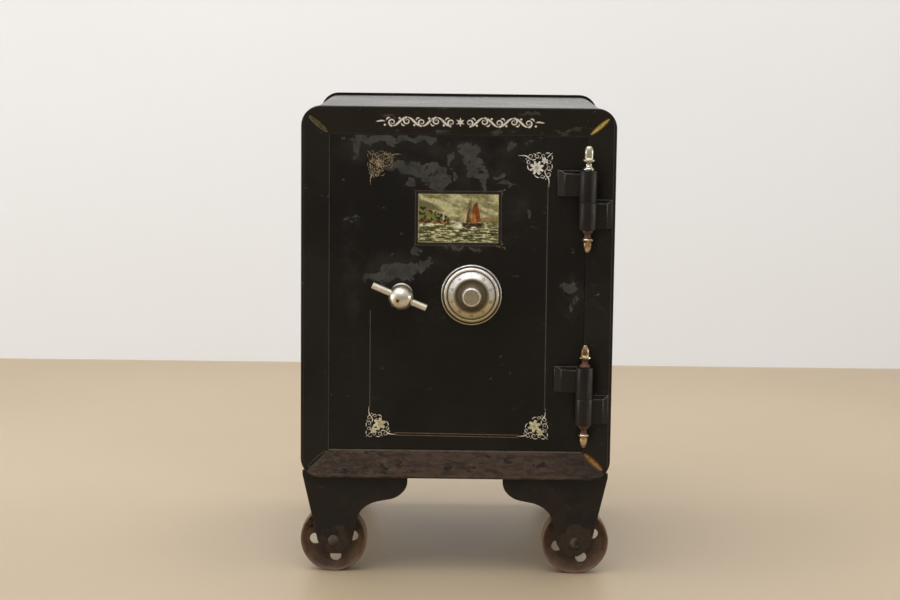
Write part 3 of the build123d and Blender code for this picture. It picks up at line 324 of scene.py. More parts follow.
def frame_japan(name, patches):
    """The front frame: brown rubbed bottom rail between its mitres, and arrises lightened by rubbed paint and
    by a painted highlight.
    """
    look = japanned_iron(name, patches, rust=0.2, tone=1.6)
    from_middle = abs(look.x - MID_X)
    above_foot = look.z - (MID_Z - HALF_H)
    to_mitre = HALF_W - from_middle - above_foot
    rail = above_foot.step(INSIDE + 0.3 * MM, INSIDE - 0.3 * MM) * to_mitre.step(0.6 * MM, 1.4 * MM)
    # brown undercoat, strongest in the middle of the rail
    browning = look.noise(13, 6, 0.62, stretch=(0.5, 1, 1.7), twist=0.6)
    browning = browning + abs(look.x - 10 * MM).step(0.27, 0.05, -0.02, 0.2)
    brown = look.mix(look.noise(95, 6, 0.62, stretch=(0.5, 1, 1.5)).step(0.32, 0.66),
                     (0.031, 0.019, 0.013), (0.07, 0.0445, 0.0305))
    look.lay(rail * browning.step(0.4, 0.62, 0.55, 1.0), brown)
    pits = look.noise(60, 6, 0.62, stretch=(0.6, 1, 1.4), twist=0.5).step(0.59, 0.62)
    look.lay(pits * rail * 0.85, (0.009, 0.007, 0.0055))
    # grey flecked scuffs, mostly at its left end
    scuffs = look.noise(110, 6, 0.64, stretch=(0.6, 1, 1.3), twist=0.9)
    scuffs = (scuffs + look.x.step(-0.02, -0.17, -0.01, 0.075)).step(0.6, 0.66)
    look.lay(scuffs * rail * 0.35, (0.105, 0.092, 0.074))
    # paint rubbed off the arrises round the opening and off the mitres, with a painted highlight on the same
    # lines, brightest along the bottom of the opening
    top_in = 2 * HALF_H - INSIDE
    in_height = above_foot.step(INSIDE - 1 * MM, INSIDE) * above_foot.step(top_in, top_in - 1 * MM)
    in_width = from_middle.step(HALF_W - INSIDE + 1 * MM, HALF_W - INSIDE)
    patchy = look.flecks.step(0.36, 0.54, 0.45, 1.0)
    for inside, along, at, half, share, bright in (
        (in_height, look.x, MID_X - HALF_W + INSIDE - 0.9 * MM, 1.0, 0.75, (0.062, 0.054, 0.047)),
        (in_width, look.z, MID_Z - HALF_H + INSIDE - 1.5 * MM, 1.1, 0.8, (0.11, 0.096, 0.078)),
        (in_width, look.z, MID_Z + HALF_H - INSIDE + 0.9 * MM, 0.8, 0.35, (0.06, 0.054, 0.047)),
        (1.0, look.x, MID_X + HALF_W - RIM_W, 0.6, 0.65, (0.075, 0.06, 0.045)),
        (1.0, look.x, MID_X - HALF_W + RIM_W, 0.6, 0.35, (0.06, 0.05, 0.042)),
        (in_width, look.z, MID_Z - HALF_H + RIM_W, 0.7, 0.8, (0.098, 0.066, 0.042)),
    ):
        look.lay(look.band(along, at, half * MM) * patchy * inside * share, bright)
    # rubbed paint and painted highlight along the mitres
    mitre = abs(to_mitre).step(0.9 * MM, 0.4 * MM) * above_foot.step(INSIDE, INSIDE - 1 * MM)
    look.lay(mitre * 0.7, (0.07, 0.06, 0.048))
    return paint_over(look)


def rusty_iron(name, tone, paint, lip=0.0, axle=None):
    """Cast iron whose paint has gone to brown rust, with bare bright rubbing on the edges.
    axle (x, z) paints shade on a wheel's web, darker towards its hub, and a lighter painted
    highlight band on its rim, on both sides of the body."""
    look = Look(name)
    coarse = look.noise(26, 7, 0.66)
    fine = look.noise(170, 5, 0.7)
    look.colour = look.mix(coarse.step(0.35, 0.66), shade(tone, 0.42), tone)
    look.lay(fine.step(0.54, 0.7) * 0.65, (tone[0] * 1.8, tone[1] * 1.75, tone[2] * 1.7))
    if axle:
        # painted shade darkening the dished web towards the hub, and a painted highlight band on the rim
        reach = look.beside(axle)
        look.lay(reach.step(56 * MM, 30 * MM, 0.0, 0.72), (0.02, 0.013, 0.009))
        look.lay(reach.step(52 * MM, 57 * MM, 0.0, 0.3), (0.26, 0.185, 0.13))
    kept = look.noise(19, 6, 0.6, twist=0.5).step(0.62 - 0.2 * paint, 0.68 - 0.2 * paint)
    look.lay(kept, (0.009, 0.008, 0.007))
    rubbed = look.edge(2.2 * MM).step(0.03, 0.16) * coarse.step(0.34, 0.58)
    look.lay(look.math("MULTIPLY", rubbed, 0.55 + lip, clamp=True), (0.21, 0.165, 0.135))
    return look.finish(fine.step(0.3, 0.7, 0.48, 0.82), metal=fine.step(0.3, 0.8, 0.1, 0.35),
                       bump=coarse + fine * 0.5, height=0.35 * MM, rounding=1.0 * MM)


def plated(name, bright, stain, amount, rough, ring=0.0, pit_at=None):
    """Old nickel or brass plating: brushed, with warm stains, dark pits and soft haze.
    pit_at (x, z) adds one large pit worn through to the brass."""
    look = Look(name)
    cloud = look.noise(55, 5, 0.6)
    fine = look.noise(520, 4, 0.6)
    pit = look.noise(210, 5, 0.65).step(0.66, 0.74)
    look.colour = look.mix(cloud.step(0.42, 0.72) * amount, bright, stain)
    look.lay(look.noise(24, 3).step(0.45, 0.7) * (amount * 0.6), stain)
    look.lay(pit * 0.7, shade(stain, 0.18))
    if pit_at:
        away = look.radius(*pit_at) + look.noise(260, 4, 0.65) * (9.0 * MM)
        look.lay(away.step(9.4 * MM, 7.4 * MM), (0.32, 0.22, 0.09))
        look.lay(away.step(7.2 * MM, 5.8 * MM), (0.05, 0.03, 0.015))
    look.lay(look.edge(0.8 * MM).step(0.05, 0.3) * ring, bright)
    return look.finish(cloud.step(0.3, 0.75, rough, rough + 0.18) + fine * 0.08, metal=1.0,
                       bump=fine * 0.4 - pit, height=0.05 * MM, rounding=0.35 * MM)


def turned_nickel(name, bands, stain_amount, rough):
    """Plated metal turned about the dial's axis. bands are (inner radius, outer radius in mm,
    colour, roughness, share) laid over bright nickel, such as a bronze dish or a dark groove.
    A band rougher than 0.5 is dull, half metal. The nickel under the bands is painted lighter towards the top
    and tan towards the bottom, a painted highlight and painted shade."""
    look = Look(name)
    # painted highlight and shade: the nickel runs from tan at the bottom to near white at the top
    height = look.z.step(DIAL_Z - 42 * MM, DIAL_Z + 34 * MM)
    bright = look.mix(height, (0.5, 0.43, 0.235), (0.93, 0.905, 0.87))
    cloud = look.noise(60, 5, 0.6)
    fine = look.noise(520, 4, 0.6)
    look.colour = look.mix(cloud.step(0.45, 0.75) * stain_amount, bright, (0.34, 0.26, 0.14))
    look.lay(look.noise(260, 5, 0.65).step(0.66, 0.72, 0, 0.6), (0.06, 0.045, 0.03))
    haze = cloud.step(0.3, 0.75, rough, rough + 0.16) + fine * 0.08
    reach = look.radius(DIAL_X, DIAL_Z)
    metal = 1.0
    for inner, outer, tone, tone_rough, share in bands:
        shown = reach.step((inner - 0.15) * MM, (inner + 0.15) * MM)
        shown = shown * reach.step((outer + 0.15) * MM, (outer - 0.15) * MM) * share
        look.lay(shown, look.mix(fine.step(0.35, 0.65), tone, shade(tone, 0.62)))
        haze = haze + shown * (tone_rough - rough)
        if tone_rough > 0.5:
            metal = look.math("SUBTRACT", metal, shown * 0.5)
    turning = look.noise(900, 2, 0.5, stretch=(0.02, 0.02, 0.02))
    return look.finish(haze, metal, fine * 0.4 + turning * 0.2, height=0.05 * MM, rounding=0.3 * MM)


def low_finial(name):
    """Brass acorn on a neck of dark red oxide, with painted highlights on its edges, for every finial but the
    top one.
    """
    look = Look(name)
    mottle = look.noise(110, 4, 0.55)
    look.colour = look.mix(mottle.step(0.4, 0.62), (0.54, 0.44, 0.28), (0.2, 0.105, 0.055))
    half_neck = 6.75 * MM
    neck = 0.0
    for node, end, up in (
        ("upper_hinge_frame_leaf", 0, -1), ("lower_hinge_frame_leaf", 0, -1), ("lower_hinge_door_leaf", 1, 1),
    ):
        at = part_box(node)[end].z + up * half_neck
        neck = look.math("MAXIMUM", neck, look.band(look.z, at, half_neck))
    look.lay(neck * 0.92, look.mix(mottle.step(0.42, 0.6), (0.06, 0.018, 0.014), (0.135, 0.062, 0.048)))
    # painted highlight glinting on the edges
    painted_glint = look.edge(0.9 * MM).step(0.06, 0.25) * look.noise(520, 4, 0.6).step(0.4, 0.6)
    look.lay(painted_glint * 0.6, (0.62, 0.5, 0.4))
    return look.finish(mottle.step(0.35, 0.65, 0.16, 0.36) + neck * 0.16, bump=mottle,
                       metal=neck.step(0.0, 1.0, 1.0, 0.45), height=0.12 * MM, rounding=0.3 * MM)


def gilding(name, colour_a, colour_b, bare, metal, rough, scale=260):
    """Gold or silver leaf and line paint, partly worn away to the black under it."""
    look = Look(name)
    look.colour = look.mix(look.noise(140, 4).step(0.3, 0.7), colour_a, colour_b)
    gone = (look.noise(scale, 5, 0.62) + bare * 0.35).step(0.6, 0.7)
    look.lay(gone, (0.012, 0.011, 0.009))
    return look.finish(look.noise(300, 3).step(0.3, 0.7, rough, rough + 0.2), bump=look.noise(700, 3),
                       metal=gone.step(0.2, 0.8, metal, 0.0), height=0.04 * MM)


def plaster(name):
    """Cement and plaster filling, hidden in the walls and painted over where it shows in front."""
    look = Look(name)
    look.colour = look.mix(look.noise(30, 6).step(0.3, 0.7), (0.34, 0.31, 0.26), (0.52, 0.49, 0.43))
    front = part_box("insulation_fill")[0].y
    look.lay(look.place.part("Y").step(front + 42 * MM, front + 38 * MM),
             look.mix(look.noise(120, 4), (0.008, 0.007, 0.006), (0.02, 0.017, 0.014)))
    return look.finish(0.9, bump=look.noise(160, 6), height=0.5 * MM)


def cabinet_wood(name):
    """Dark stained hardwood of the inner cabinet, with grain along X."""
    look = Look(name)
    grain = look.noise(60, 6, 0.6, stretch=(0.12, 0.6, 1.6), twist=0.4)
    pores = look.noise(420, 3, 0.5, stretch=(0.05, 1, 1)).step(0.58, 0.72)
    look.colour = look.mix(grain.step(0.35, 0.68), (0.1, 0.042, 0.016), (0.26, 0.125, 0.052))
    look.lay(pores * 0.6, (0.035, 0.014, 0.006))
    return look.finish(grain.step(0.3, 0.7, 0.34, 0.5), bump=pores, height=0.1 * MM,
                       rounding=0.6 * MM, coat=0.2)


def machined(name, tone, streak=(1, 1, 1), rough=0.3, tarnish=(0.1, 0.085, 0.07)):
    """Turned or filed steel and brass of the lock work, with tool marks and tarnish."""
    look = Look(name)
    marks = look.noise(300, 4, 0.6, stretch=streak)
    look.colour = look.mix(look.noise(30, 5).step(0.45, 0.75), tone, tarnish)
    return look.finish(marks.step(0.3, 0.7, rough, rough + 0.22), metal=0.95,
                       bump=marks, height=0.05 * MM, rounding=0.3 * MM)


def varnished_picture(name):
    """A transfer picture under yellowed, finely cracked varnish; its paint is in the mesh."""
    look = Look(name)
    look.colour = look.value("ShaderNodeAttribute", "Color", attribute_name="paint")
    look.lay(look.noise(520, 4).step(0.35, 0.7) * 0.1, (0.26, 0.22, 0.09))
    cracks = look.value("ShaderNodeTexVoronoi", "Distance", {"Vector": look.place, "Scale": 260},
                        feature="DISTANCE_TO_EDGE")
    look.lay(cracks.step(0.035, 0.0) * 0.35, (0.05, 0.045, 0.03))
    look.lay(look.noise(85, 5, 0.6).step(0.69, 0.72), (0.014, 0.013, 0.011))
    return look.finish(0.42, bump=look.noise(900, 3), height=0.05 * MM, gloss=0.12)


# Worn areas in mm: x, z, half width, half height.
SCUFFS = (
    (-128, 778, 84, 8), (-62, 779, 26, 8), (-180, 766, 10, 24), (-88, 730, 46, 16), (-52, 722, 34, 18),
    (-86, 705, 14, 6), (-34, 702, 16, 14), (16, 762, 24, 14), (26, 742, 26, 14), (34, 722, 20, 18),
    (-13, 738, 4, 22), (-12, 716, 4, 8), (72, 716, 10, 6), (76, 702, 16, 5), (98, 772, 10, 10),
    (124, 776, 12, 6), (-150, 724, 10, 6), (44, 702, 5, 10), (-98, 548, 46, 15), (-136, 534, 34, 10),
    (-56, 560, 14, 14), (-70, 584, 10, 10), (203, 490, 6, 12), (194, 522, 17, 6), (212, 500, 6, 8),
    (130, 655, 6, 8), (-188, 640, 8, 6), (-6, 592, 18, 5), (30, 586, 12, 4),
)
SMUDGES = (
    (-150, 762, 74, 30), (-60, 745, 70, 40), (30, 740, 60, 46), (110, 770, 60, 22), (-100, 550, 80, 30),
    (200, 505, 22, 44), (-185, 560, 16, 100), (20, 600, 80, 16), (100, 660, 30, 30),
)
RAIL_SCUFFS = (
    (190, 797, 30, 5), (-30, 794, 22, 6), (66, 792, 12, 6), (120, 826, 24, 3), (-120, 824, 20, 3),
)
BODY_SCUFFS = (
    (-196, 640, 26, 9), (-150, 655, 12, 6), (150, 246, 44, 10), (196, 262, 16, 18), (30, 742, 40, 7),
    (-70, 330, 12, 26), (-52, 300, 16, 8), (110, 520, 9, 20), (-210, 226, 22, 8), (210, 700, 8, 30),
)
BRONZE = (0.15, 0.112, 0.052)
# a darker colour for narrow bands in the dial's grooves and on the ring's inner edge and outer flank
DARK_BAND_TONE = (0.03, 0.024, 0.016)

HINGE_LEAVES = [f"{place}_hinge_{side}_leaf" for place in ("upper", "lower") for side in ("door", "frame")]
wheel_centre = middle("front_right_wheel")
AXLE = (wheel_centre.x, wheel_centre.z)
ball_centre = middle("handle_ball")
BALL_PIT = (ball_centre.x - 5.5 * MM, ball_centre.z - 3.5 * MM)
dial_nickel = turned_nickel("dial_nickel", (
    (14.0, 28.6, BRONZE, 0.56, 0.95), (28.4, 30.4, (0.12, 0.095, 0.04), 0.56, 0.8),
    (30.4, 32.2, (0.3, 0.25, 0.13), 0.45, 0.55),
    (40.9, 42.5, DARK_BAND_TONE, 0.56, 0.55),
), 0.35, 0.3)
knob_nickel = turned_nickel("knob_nickel", (
    (-1, 13.8, (0.4, 0.345, 0.235), 0.6, 1.0), (13.8, 17.0, (0.95, 0.9, 0.84), 0.34, 0.9),
), 0.2, 0.2)
ring_nickel = turned_nickel("ring_nickel", (
    (0, 43.0, DARK_BAND_TONE, 0.5, 0.9), (48.6, 50.9, DARK_BAND_TONE, 0.5, 0.85), (43.0, 44.3, (0.8, 0.77, 0.72), 0.2, 0.9),
), 0.5, 0.26)

FINISHES = (
    (plain_japan("door_japan", patches=SCUFFS, smudges=SMUDGES), "door_face_plate"),
    (frame_japan("frame_japan", RAIL_SCUFFS), "front_frame"),
    (plain_japan("body_japan", patches=BODY_SCUFFS, rust=0.25, dust=0.55),
     "outer_shell rear_frame rear_panel rear_panel_rivets"),
    *((hinge_japan(node), node) for node in HINGE_LEAVES),
    (leg_japan("leg_japan", AXLE), "front_left_leg front_right_leg rear_left_leg rear_right_leg leg_bolts"),
    (plain_japan("jamb_japan", wear=0.8, rust=0.5), "door_jamb door_plug_casing"),
    (plain_japan("inner_japan", wear=0.5, shine=0.5), "door_back_plate back_plate_screws inner_liner"),
    (rusty_iron("wheel_rust", (0.185, 0.102, 0.06), 0.0, lip=0.1, axle=AXLE),
     "front_left_wheel front_right_wheel rear_left_wheel rear_right_wheel"),
    (rusty_iron("axle_rust", (0.08, 0.058, 0.045), 0.2), "wheel_axle_bolts wheel_axle_nuts"),
    (plated("old_nickel", (0.72, 0.675, 0.58), (0.36, 0.265, 0.14), 0.35, 0.22, ring=0.4, pit_at=BALL_PIT),
     "handle_ball handle_flange"),
    (plated("bar_nickel", (0.8, 0.75, 0.65), (0.42, 0.32, 0.18), 0.35, 0.36, ring=0.3), "handle_bar"),
    (dial_nickel, "dial"),
    (knob_nickel, "dial_knob"),
    (plated("pale_brass", (0.63, 0.6, 0.475), (0.24, 0.18, 0.09), 0.7, 0.2), "upper_hinge_top_finial"),
    (low_finial("copper_brass"), "hinge_finials"),
    (machined("lock_brass", (0.62, 0.45, 0.2), rough=0.24, tarnish=(0.3, 0.19, 0.08)),
     "lock_wheel_1 lock_wheel_2 lock_wheel_3 lock_bolt drive_cam lock_wheel_post"),
    (machined("lock_steel", (0.46, 0.45, 0.43), streak=(0.1, 1, 1)),
     "locking_bolts bolt_carrier bolt_pinion bolt_bar_guides dial_spindle handle_spindle dial_spindle_tube "
     "handle_spindle_tube lock_lever lock_cover_screws upper_hinge_pin lower_hinge_pin"),
    (plain_japan("lock_japan", wear=0.6, shine=0.46), "lock_case lock_cover"),
    (plaster("filling"), "insulation_fill door_insulation"),
    (cabinet_wood("cabinet_wood"), "cabinet_carcass cabinet_shelf cabinet_divider"),
)


def dress(node, material):
    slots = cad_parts[node].data.materials
    if not slots:
        slots.append(material)
    for index in range(len(slots)):
        slots[index] = material


for material, names in FINISHES:
    for name in names.split():
        dress(name, material)


def soften(node, width):
    """Rounds the sharp edges of a cast or pressed part."""
    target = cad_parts[node]
    weld = target.modifiers.new("weld", "WELD")
    weld.merge_threshold = 0.01 * MM
    bevel = target.modifiers.new("bevel", "BEVEL")
    bevel.width = width
    bevel.segments = 3
    bevel.limit_method = "ANGLE"
    bevel.angle_limit = math.radians(32)
    bevel.harden_normals = True


for node in HINGE_LEAVES:
    soften(node, 1.4 * MM)
soften("front_frame", 0.9 * MM)
soften("door_face_plate", 0.7 * MM)


# ---- Mesh pieces ----
def piece(name, vertices, faces, material, body):
    """A mesh that rides on a CAD body."""
    mesh = bpy.data.meshes.new(name)
    mesh.from_pydata(vertices, [], faces)
    mesh.validate()
    mesh.materials.append(material)
    made = bpy.data.objects.new(name, mesh)
    scene.collection.objects.link(made)
    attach(made, body)
    return made


class Relief:
    """Brush strokes a tenth of a millimetre high on a face, collected into one closed mesh.
    Places are (x, z) in mm in the shared frame."""

    SUNK = 0.04  # the stroke's underside lies just below the paint

    def __init__(self, face, height=0.12):
        self.face = face
        self.height = height
        self.vertices = []
        self.faces = []

    def point(self, x, z, height):
        x, z = x * MM, z * MM
        self.vertices.append((x, self.face(x, z) - height * MM, z))
        return len(self.vertices) - 1

    def stroke(self, path, width, taper=None):
        """taper gives the share of width at 0..1 along the path."""
        rows = []
        last = len(path) - 1
        for i, (x, z) in enumerate(path):
            ahead, behind = path[min(i + 1, last)], path[max(i - 1, 0)]
            dx, dz = ahead[0] - behind[0], ahead[1] - behind[1]
            length = math.hypot(dx, dz) or 1.0
            half = 0.5 * width * (taper(i / last) if taper else 1.0)
            nx, nz = -dz / length * half, dx / length * half
            section = ((1, -self.SUNK), (0.6, self.height), (-0.6, self.height), (-1, -self.SUNK))
            rows.append([self.point(x + nx * share, z + nz * share, height) for share, height in section])
        for a, b in zip(rows, rows[1:]):
            for k in range(4):
                self.faces.append((a[k], a[(k + 1) % 4], b[(k + 1) % 4], b[k]))
        self.faces.append(tuple(reversed(rows[0])))
        self.faces.append(tuple(rows[-1]))

    def rings(self, x, z, reaches, inner_share, turn=0.0):
        """A low and a high ring of points round (x, z) with faces between and under them;
        returns the high ring."""
        low, high = ([
            self.point(x + reach * share * math.cos(math.tau * k / len(reaches) + turn),
                       z + reach * share * math.sin(math.tau * k / len(reaches) + turn), height)
            for k, reach in enumerate(reaches)
        ] for share, height in ((1.0, -self.SUNK), (inner_share, self.height)))
        for k in range(len(reaches)):
            self.faces.append((low[k - 1], low[k], high[k], high[k - 1]))
        self.faces.append(tuple(reversed(low)))
        return high

    def disc(self, x, z, radius, sides=14):
        self.faces.append(tuple(self.rings(x, z, [radius] * sides, 0.72)))

    def star(self, x, z, outer, inner, points, turn):
        """A pointed flower head."""
        high = self.rings(x, z, [outer, inner] * points, 0.82, turn)
        centre = self.point(x, z, self.height * 1.6)
        self.faces += [(high[k - 1], high[k], centre) for k in range(len(high))]

    def flower(self, x, z, outer, petals, turn):
        """A flower head of rounded petals round a raised eye."""
        for k in range(petals):
            angle = math.tau * k / petals + turn
            ends = [
                (x + reach * math.cos(angle), z + reach * math.sin(angle)) for reach in (0.12 * outer, outer)
            ]
            self.stroke(line(*ends, 8), 3.5 * outer / petals, petal_taper)
        self.disc(x, z, 0.3 * outer)

    def build(self, name, leaf, body):
        """leaf is the name of a gilding material."""
        return piece(name, self.vertices, self.faces, bpy.data.materials[leaf], body)


def petal_taper(share):
    return 0.3 + 0.7 * math.sin(math.pi * min(max(share, 0.06), 0.9)) ** 0.7


def leaf_taper(share):
    return 0.08 + 0.92 * math.sin(math.pi * min(max(share, 0), 1)) ** 0.8


def tail_taper(share):
    return 1.0 - 0.85 * share


def line(start, end, steps=1):
    return [
        (start[0] + (end[0] - start[0]) * i / steps, start[1] + (end[1] - start[1]) * i / steps)
        for i in range(steps + 1)
    ]


def bow(a, b, c, d, steps=14):
    """A cubic curve from a to d, drawn towards b and c."""
    path = []
    for i in range(steps + 1):
        t = i / steps
        weights = ((1 - t) ** 3, 3 * t * (1 - t) ** 2, 3 * t * t * (1 - t), t ** 3)
        path.append(tuple(sum(w * p[axis] for w, p in zip(weights, (a, b, c, d))) for axis in (0, 1)))
    return path


def curl(x, z, radius, start, sweep, shrink=0.25, steps=30):
    """A spiral round (x, z) that tightens from radius to radius * shrink; angles in degrees."""
    path = []
    for i in range(steps + 1):
        t = i / steps
        angle = math.radians(start + sweep * t)
        reach = radius * (1 - (1 - shrink) * t)
        path.append((x + reach * math.cos(angle), z + reach * math.sin(angle)))
    return path


# ---- Line work on the door ----
STRIPE_LEFT = -153.0
STRIPE_RIGHT = 156.3
STRIPE_BOTTOM = 257.5
STRIPE_TOP = 757.0
# Scroll strokes in corner coordinates: u along the rail, v along the stile, in mm from the
# corner; each is (path, width, taper) and is drawn again mirrored about the diagonal.
SCROLLS = (
    (curl(36.4, 6.0, 4.7, 110, -430, 0.34), 1.75, tail_taper),
    (curl(25.6, 5.4, 4.2, -60, 400, 0.34), 1.65, tail_taper),
    (curl(14.8, 4.8, 3.9, 140, -400, 0.34), 1.6, tail_taper),
    (curl(39.8, 16.2, 3.8, -100, 400, 0.34), 1.55, tail_taper),
    (bow((3.4, 1.0), (6.4, -1.2), (9.4, -0.7), (11.4, 1.2)), 1.5, leaf_taper),
    (bow((18.4, 0.9), (21.2, -1.0), (24.6, -0.5), (27.6, 0.8)), 1.5, leaf_taper),
    (bow((27.6, 9.6), (29.8, 12.4), (33.4, 12.6), (36.0, 11.0)), 2.0, leaf_taper),
    (bow((41.4, 20.6), (43.0, 24.2), (40.6, 28.2), (37.4, 29.6)), 1.8, leaf_taper),
)
BEADS = ((44.4, 10.4, 1.0), (31.2, 1.4, 0.9), (20.2, 8.6, 1.0), (34.6, 19.6, 1.0))
TAIL = bow((40.5, 8.2), (43.5, 4.0), (50, 4.4), (58, 4.9))  # runs out into the stripe


def corner_ornament(relief, heads, corner_x, corner_z, side, down, flowers, size, bold, dots):
    """Scroll work in a corner of the stripes, with flowers (place, reach, petals) drawn in
    heads and a scatter of small dots between them where the leaf has broken up."""

    def place(path, swap=False):
        return [
            (corner_x + side * size * (v if swap else u), corner_z + down * size * (u if swap else v))
            for u, v in path
        ]

    for swap in (False, True):
        for path, width, taper in SCROLLS:
            relief.stroke(place(path, swap), width * bold, taper)
        for u, v, radius in BEADS:
            (x, z), = place([(u, v)], swap)
            relief.disc(x, z, radius)
        relief.stroke(place(TAIL, swap), 2.9, tail_taper)
    relief.stroke(place(bow((8.5, 8.5), (6, 4.5), (3.5, 3.0), (-1.0, -1.0))), 1.7, leaf_taper)
    for place_uv, outer, petals in flowers:
        (x, z), = place([place_uv])
        heads.flower(x, z, outer, petals, 0.35)
    scatter = np.random.RandomState(11)
    for u, v, radius in scatter.rand(dots, 3):
        u, v = 3 + 40 * u, 3 + 40 * v
        if u + v < 60:
            (x, z), = place([(u, v)])
            relief.disc(x, z, 0.55 + 0.65 * radius, 6)


for name, *settings in (
    ("silver_leaf", (0.64, 0.61, 0.53), (0.84, 0.81, 0.74), 0.05, 0.05, 0.4),
    ("faded_leaf", (0.17, 0.12, 0.062), (0.44, 0.35, 0.22), 0.2, 0.1, 0.55, 420),
    ("cream_leaf", (0.56, 0.48, 0.38), (0.8, 0.74, 0.64), 0.06, 0.05, 0.42),
    ("yellow_leaf", (0.47, 0.43, 0.22), (0.72, 0.68, 0.47), 0.06, 0.05, 0.42),
    ("rail_leaf", (0.74, 0.72, 0.65), (0.9, 0.88, 0.81), 0.05, 0.05, 0.4),
    ("dull_gold", (0.04, 0.035, 0.027), (0.066, 0.058, 0.042), 0.05, 0.1, 0.5, 120),
    ("sprig_gold", (0.17, 0.135, 0.055), (0.3, 0.26, 0.13), 0.1, 0.2, 0.42, 140),
    ("warm_gold", (0.105, 0.068, 0.03), (0.16, 0.115, 0.06), 0.1, 0.2, 0.42, 140),
    ("bright_gold", (0.4, 0.3, 0.045), (0.56, 0.48, 0.105), 0.1, 0.2, 0.38),
    ("orange_gold", (0.27, 0.135, 0.02), (0.4, 0.25, 0.055), 0.12, 0.2, 0.4),
    ("worn_gold", (0.19, 0.13, 0.04), (0.36, 0.27, 0.095), 0.32, 0.2, 0.45),
    ("old_gold", (0.075, 0.058, 0.028), (0.12, 0.095, 0.05), 0.24, 0.1, 0.5),
    ("red_gold", (0.23, 0.07, 0.018), (0.3, 0.11, 0.035), 0.14, 0.2, 0.45),
    ("maroon_line", (0.03, 0.0115, 0.011), (0.052, 0.024, 0.022), 0.05, 0.0, 0.5),
    ("black_line", (0.0025, 0.0018, 0.0015), (0.006, 0.004, 0.003), 0.0, 0.0, 0.5),
    ("engraved_black", (0.02, 0.018, 0.015), (0.045, 0.04, 0.032), 0.0, 0.0, 0.5),
):
    gilding(name, *settings)

LEFT = STRIPE_LEFT - 6.0  # the corners that the ornaments stand in
RIGHT = STRIPE_RIGHT + 6.8
BIG_FLOWER = (((26.0, 25.5), 12.4, 8), ((12.8, 13.2), 5.6, 6))
TWO_FLOWERS = (((25.0, 24.5), 11.4, 6), ((13.6, 12.4), 6.6, 5))
FADED_FLOWER = (((20.0, 20.0), 8.5, 9),)

for name, x, z, side, down, leaf, head_leaf, flowers, size, bold, dots in (
    ("top_left", LEFT, STRIPE_TOP + 1, 1, -1, "faded_leaf", "faded_leaf", FADED_FLOWER, 1.02, 0.72, 290),
    ("top_right", RIGHT, STRIPE_TOP + 1, -1, -1, "silver_leaf", "silver_leaf", BIG_FLOWER, 1.02, 1.1, 0),
    ("bottom_left", LEFT, STRIPE_BOTTOM - 7, 1, 1, "cream_leaf", "yellow_leaf", TWO_FLOWERS, 0.93, 1.0, 0),
    ("bottom_right", RIGHT, STRIPE_BOTTOM - 8, -1, 1, "cream_leaf", "yellow_leaf", TWO_FLOWERS, 0.93, 1.0, 0),
):
    ornament, heads = Relief(door_face, 0.15), Relief(door_face, 0.19)
    corner_ornament(ornament, heads, x, z, side, down, flowers, size, bold, dots)
    ornament.build(f"corner_scroll_{name}", leaf, "door")
    heads.build(f"corner_flowers_{name}", head_leaf, "door")

stripes = Relief(door_face)
stripes.stroke(line((STRIPE_RIGHT + 0.4, STRIPE_TOP - 54), (STRIPE_RIGHT + 1.2, STRIPE_BOTTOM + 46), 40), 2.0)
stripes.stroke(line((STRIPE_LEFT, MID_Z / MM - 30), (STRIPE_LEFT, STRIPE_BOTTOM + 46), 30), 2.0)
stripes.build("door_side_stripes", "dull_gold", "door")
bottom_line = Relief(door_face)
for offset, width in ((-5.2, 1.4), (-1.0, 1.5)):
    bottom_line.stroke(line((STRIPE_LEFT + 45, STRIPE_BOTTOM + 1 + offset),
                            (STRIPE_RIGHT - 45, STRIPE_BOTTOM - 1 + offset), 40), width)
bottom_line.build("door_bottom_stripe", "warm_gold", "door")


# ---- Ornament on the top rail and gilt leaves on the mitres ----
def rail_ornament(relief, centre_x, centre_z, half_width, count=5):
    """A running band of mirrored scrolls, leaves and beads, count scrolls to each side."""

    def spot(along, up):
        return (centre_x + direction * along, centre_z + up)

    end = half_width - 16
    pitch = end / (count + 0.1)
    for direction in (-1, 1):
        for k in range(count):
            here = (k + 0.62) * pitch
            side = 1 if k % 2 else -1
            relief.stroke(curl(*spot(here, 1.2 * side), 6.6, 90 * side, -side * direction * 450, 0.22),
                          3.9, tail_taper)
            if k < count - 1:
                relief.stroke(bow(spot(here, 7.6 * side), spot(here + 10, 8.4 * side),
                                  spot(here + pitch - 10, -8.4 * side), spot(here + pitch, -7.6 * side)),
                              4.2, leaf_taper)
            relief.disc(*spot(here + pitch / 2, 6.0 * side), 2.1)
            relief.stroke(bow(spot(here + 3, -6 * side), spot(here + 7, -8 * side), spot(here + 9, -6 * side),
                              spot(here + 10, -2 * side)), 3.0, leaf_taper)
        tip = bow(spot(end, 0), spot(end + 5, 3), spot(end + 10, 0), spot(end + 16, 0))
        relief.stroke(tip, 3.0, leaf_taper)
    relief.star(centre_x, centre_z, 8.5, 3.6, 6, math.pi / 2)


band = Relief(frame_face, 0.15)
rail_ornament(band, 2.0, 810.5, 147.0)
band.build("top_rail_scroll_band", "rail_leaf", "root")

MITRE_IN = 14.0  # how far inside the frame's corner the leaf starts
MITRE_OUT = 45.0  # and where it ends


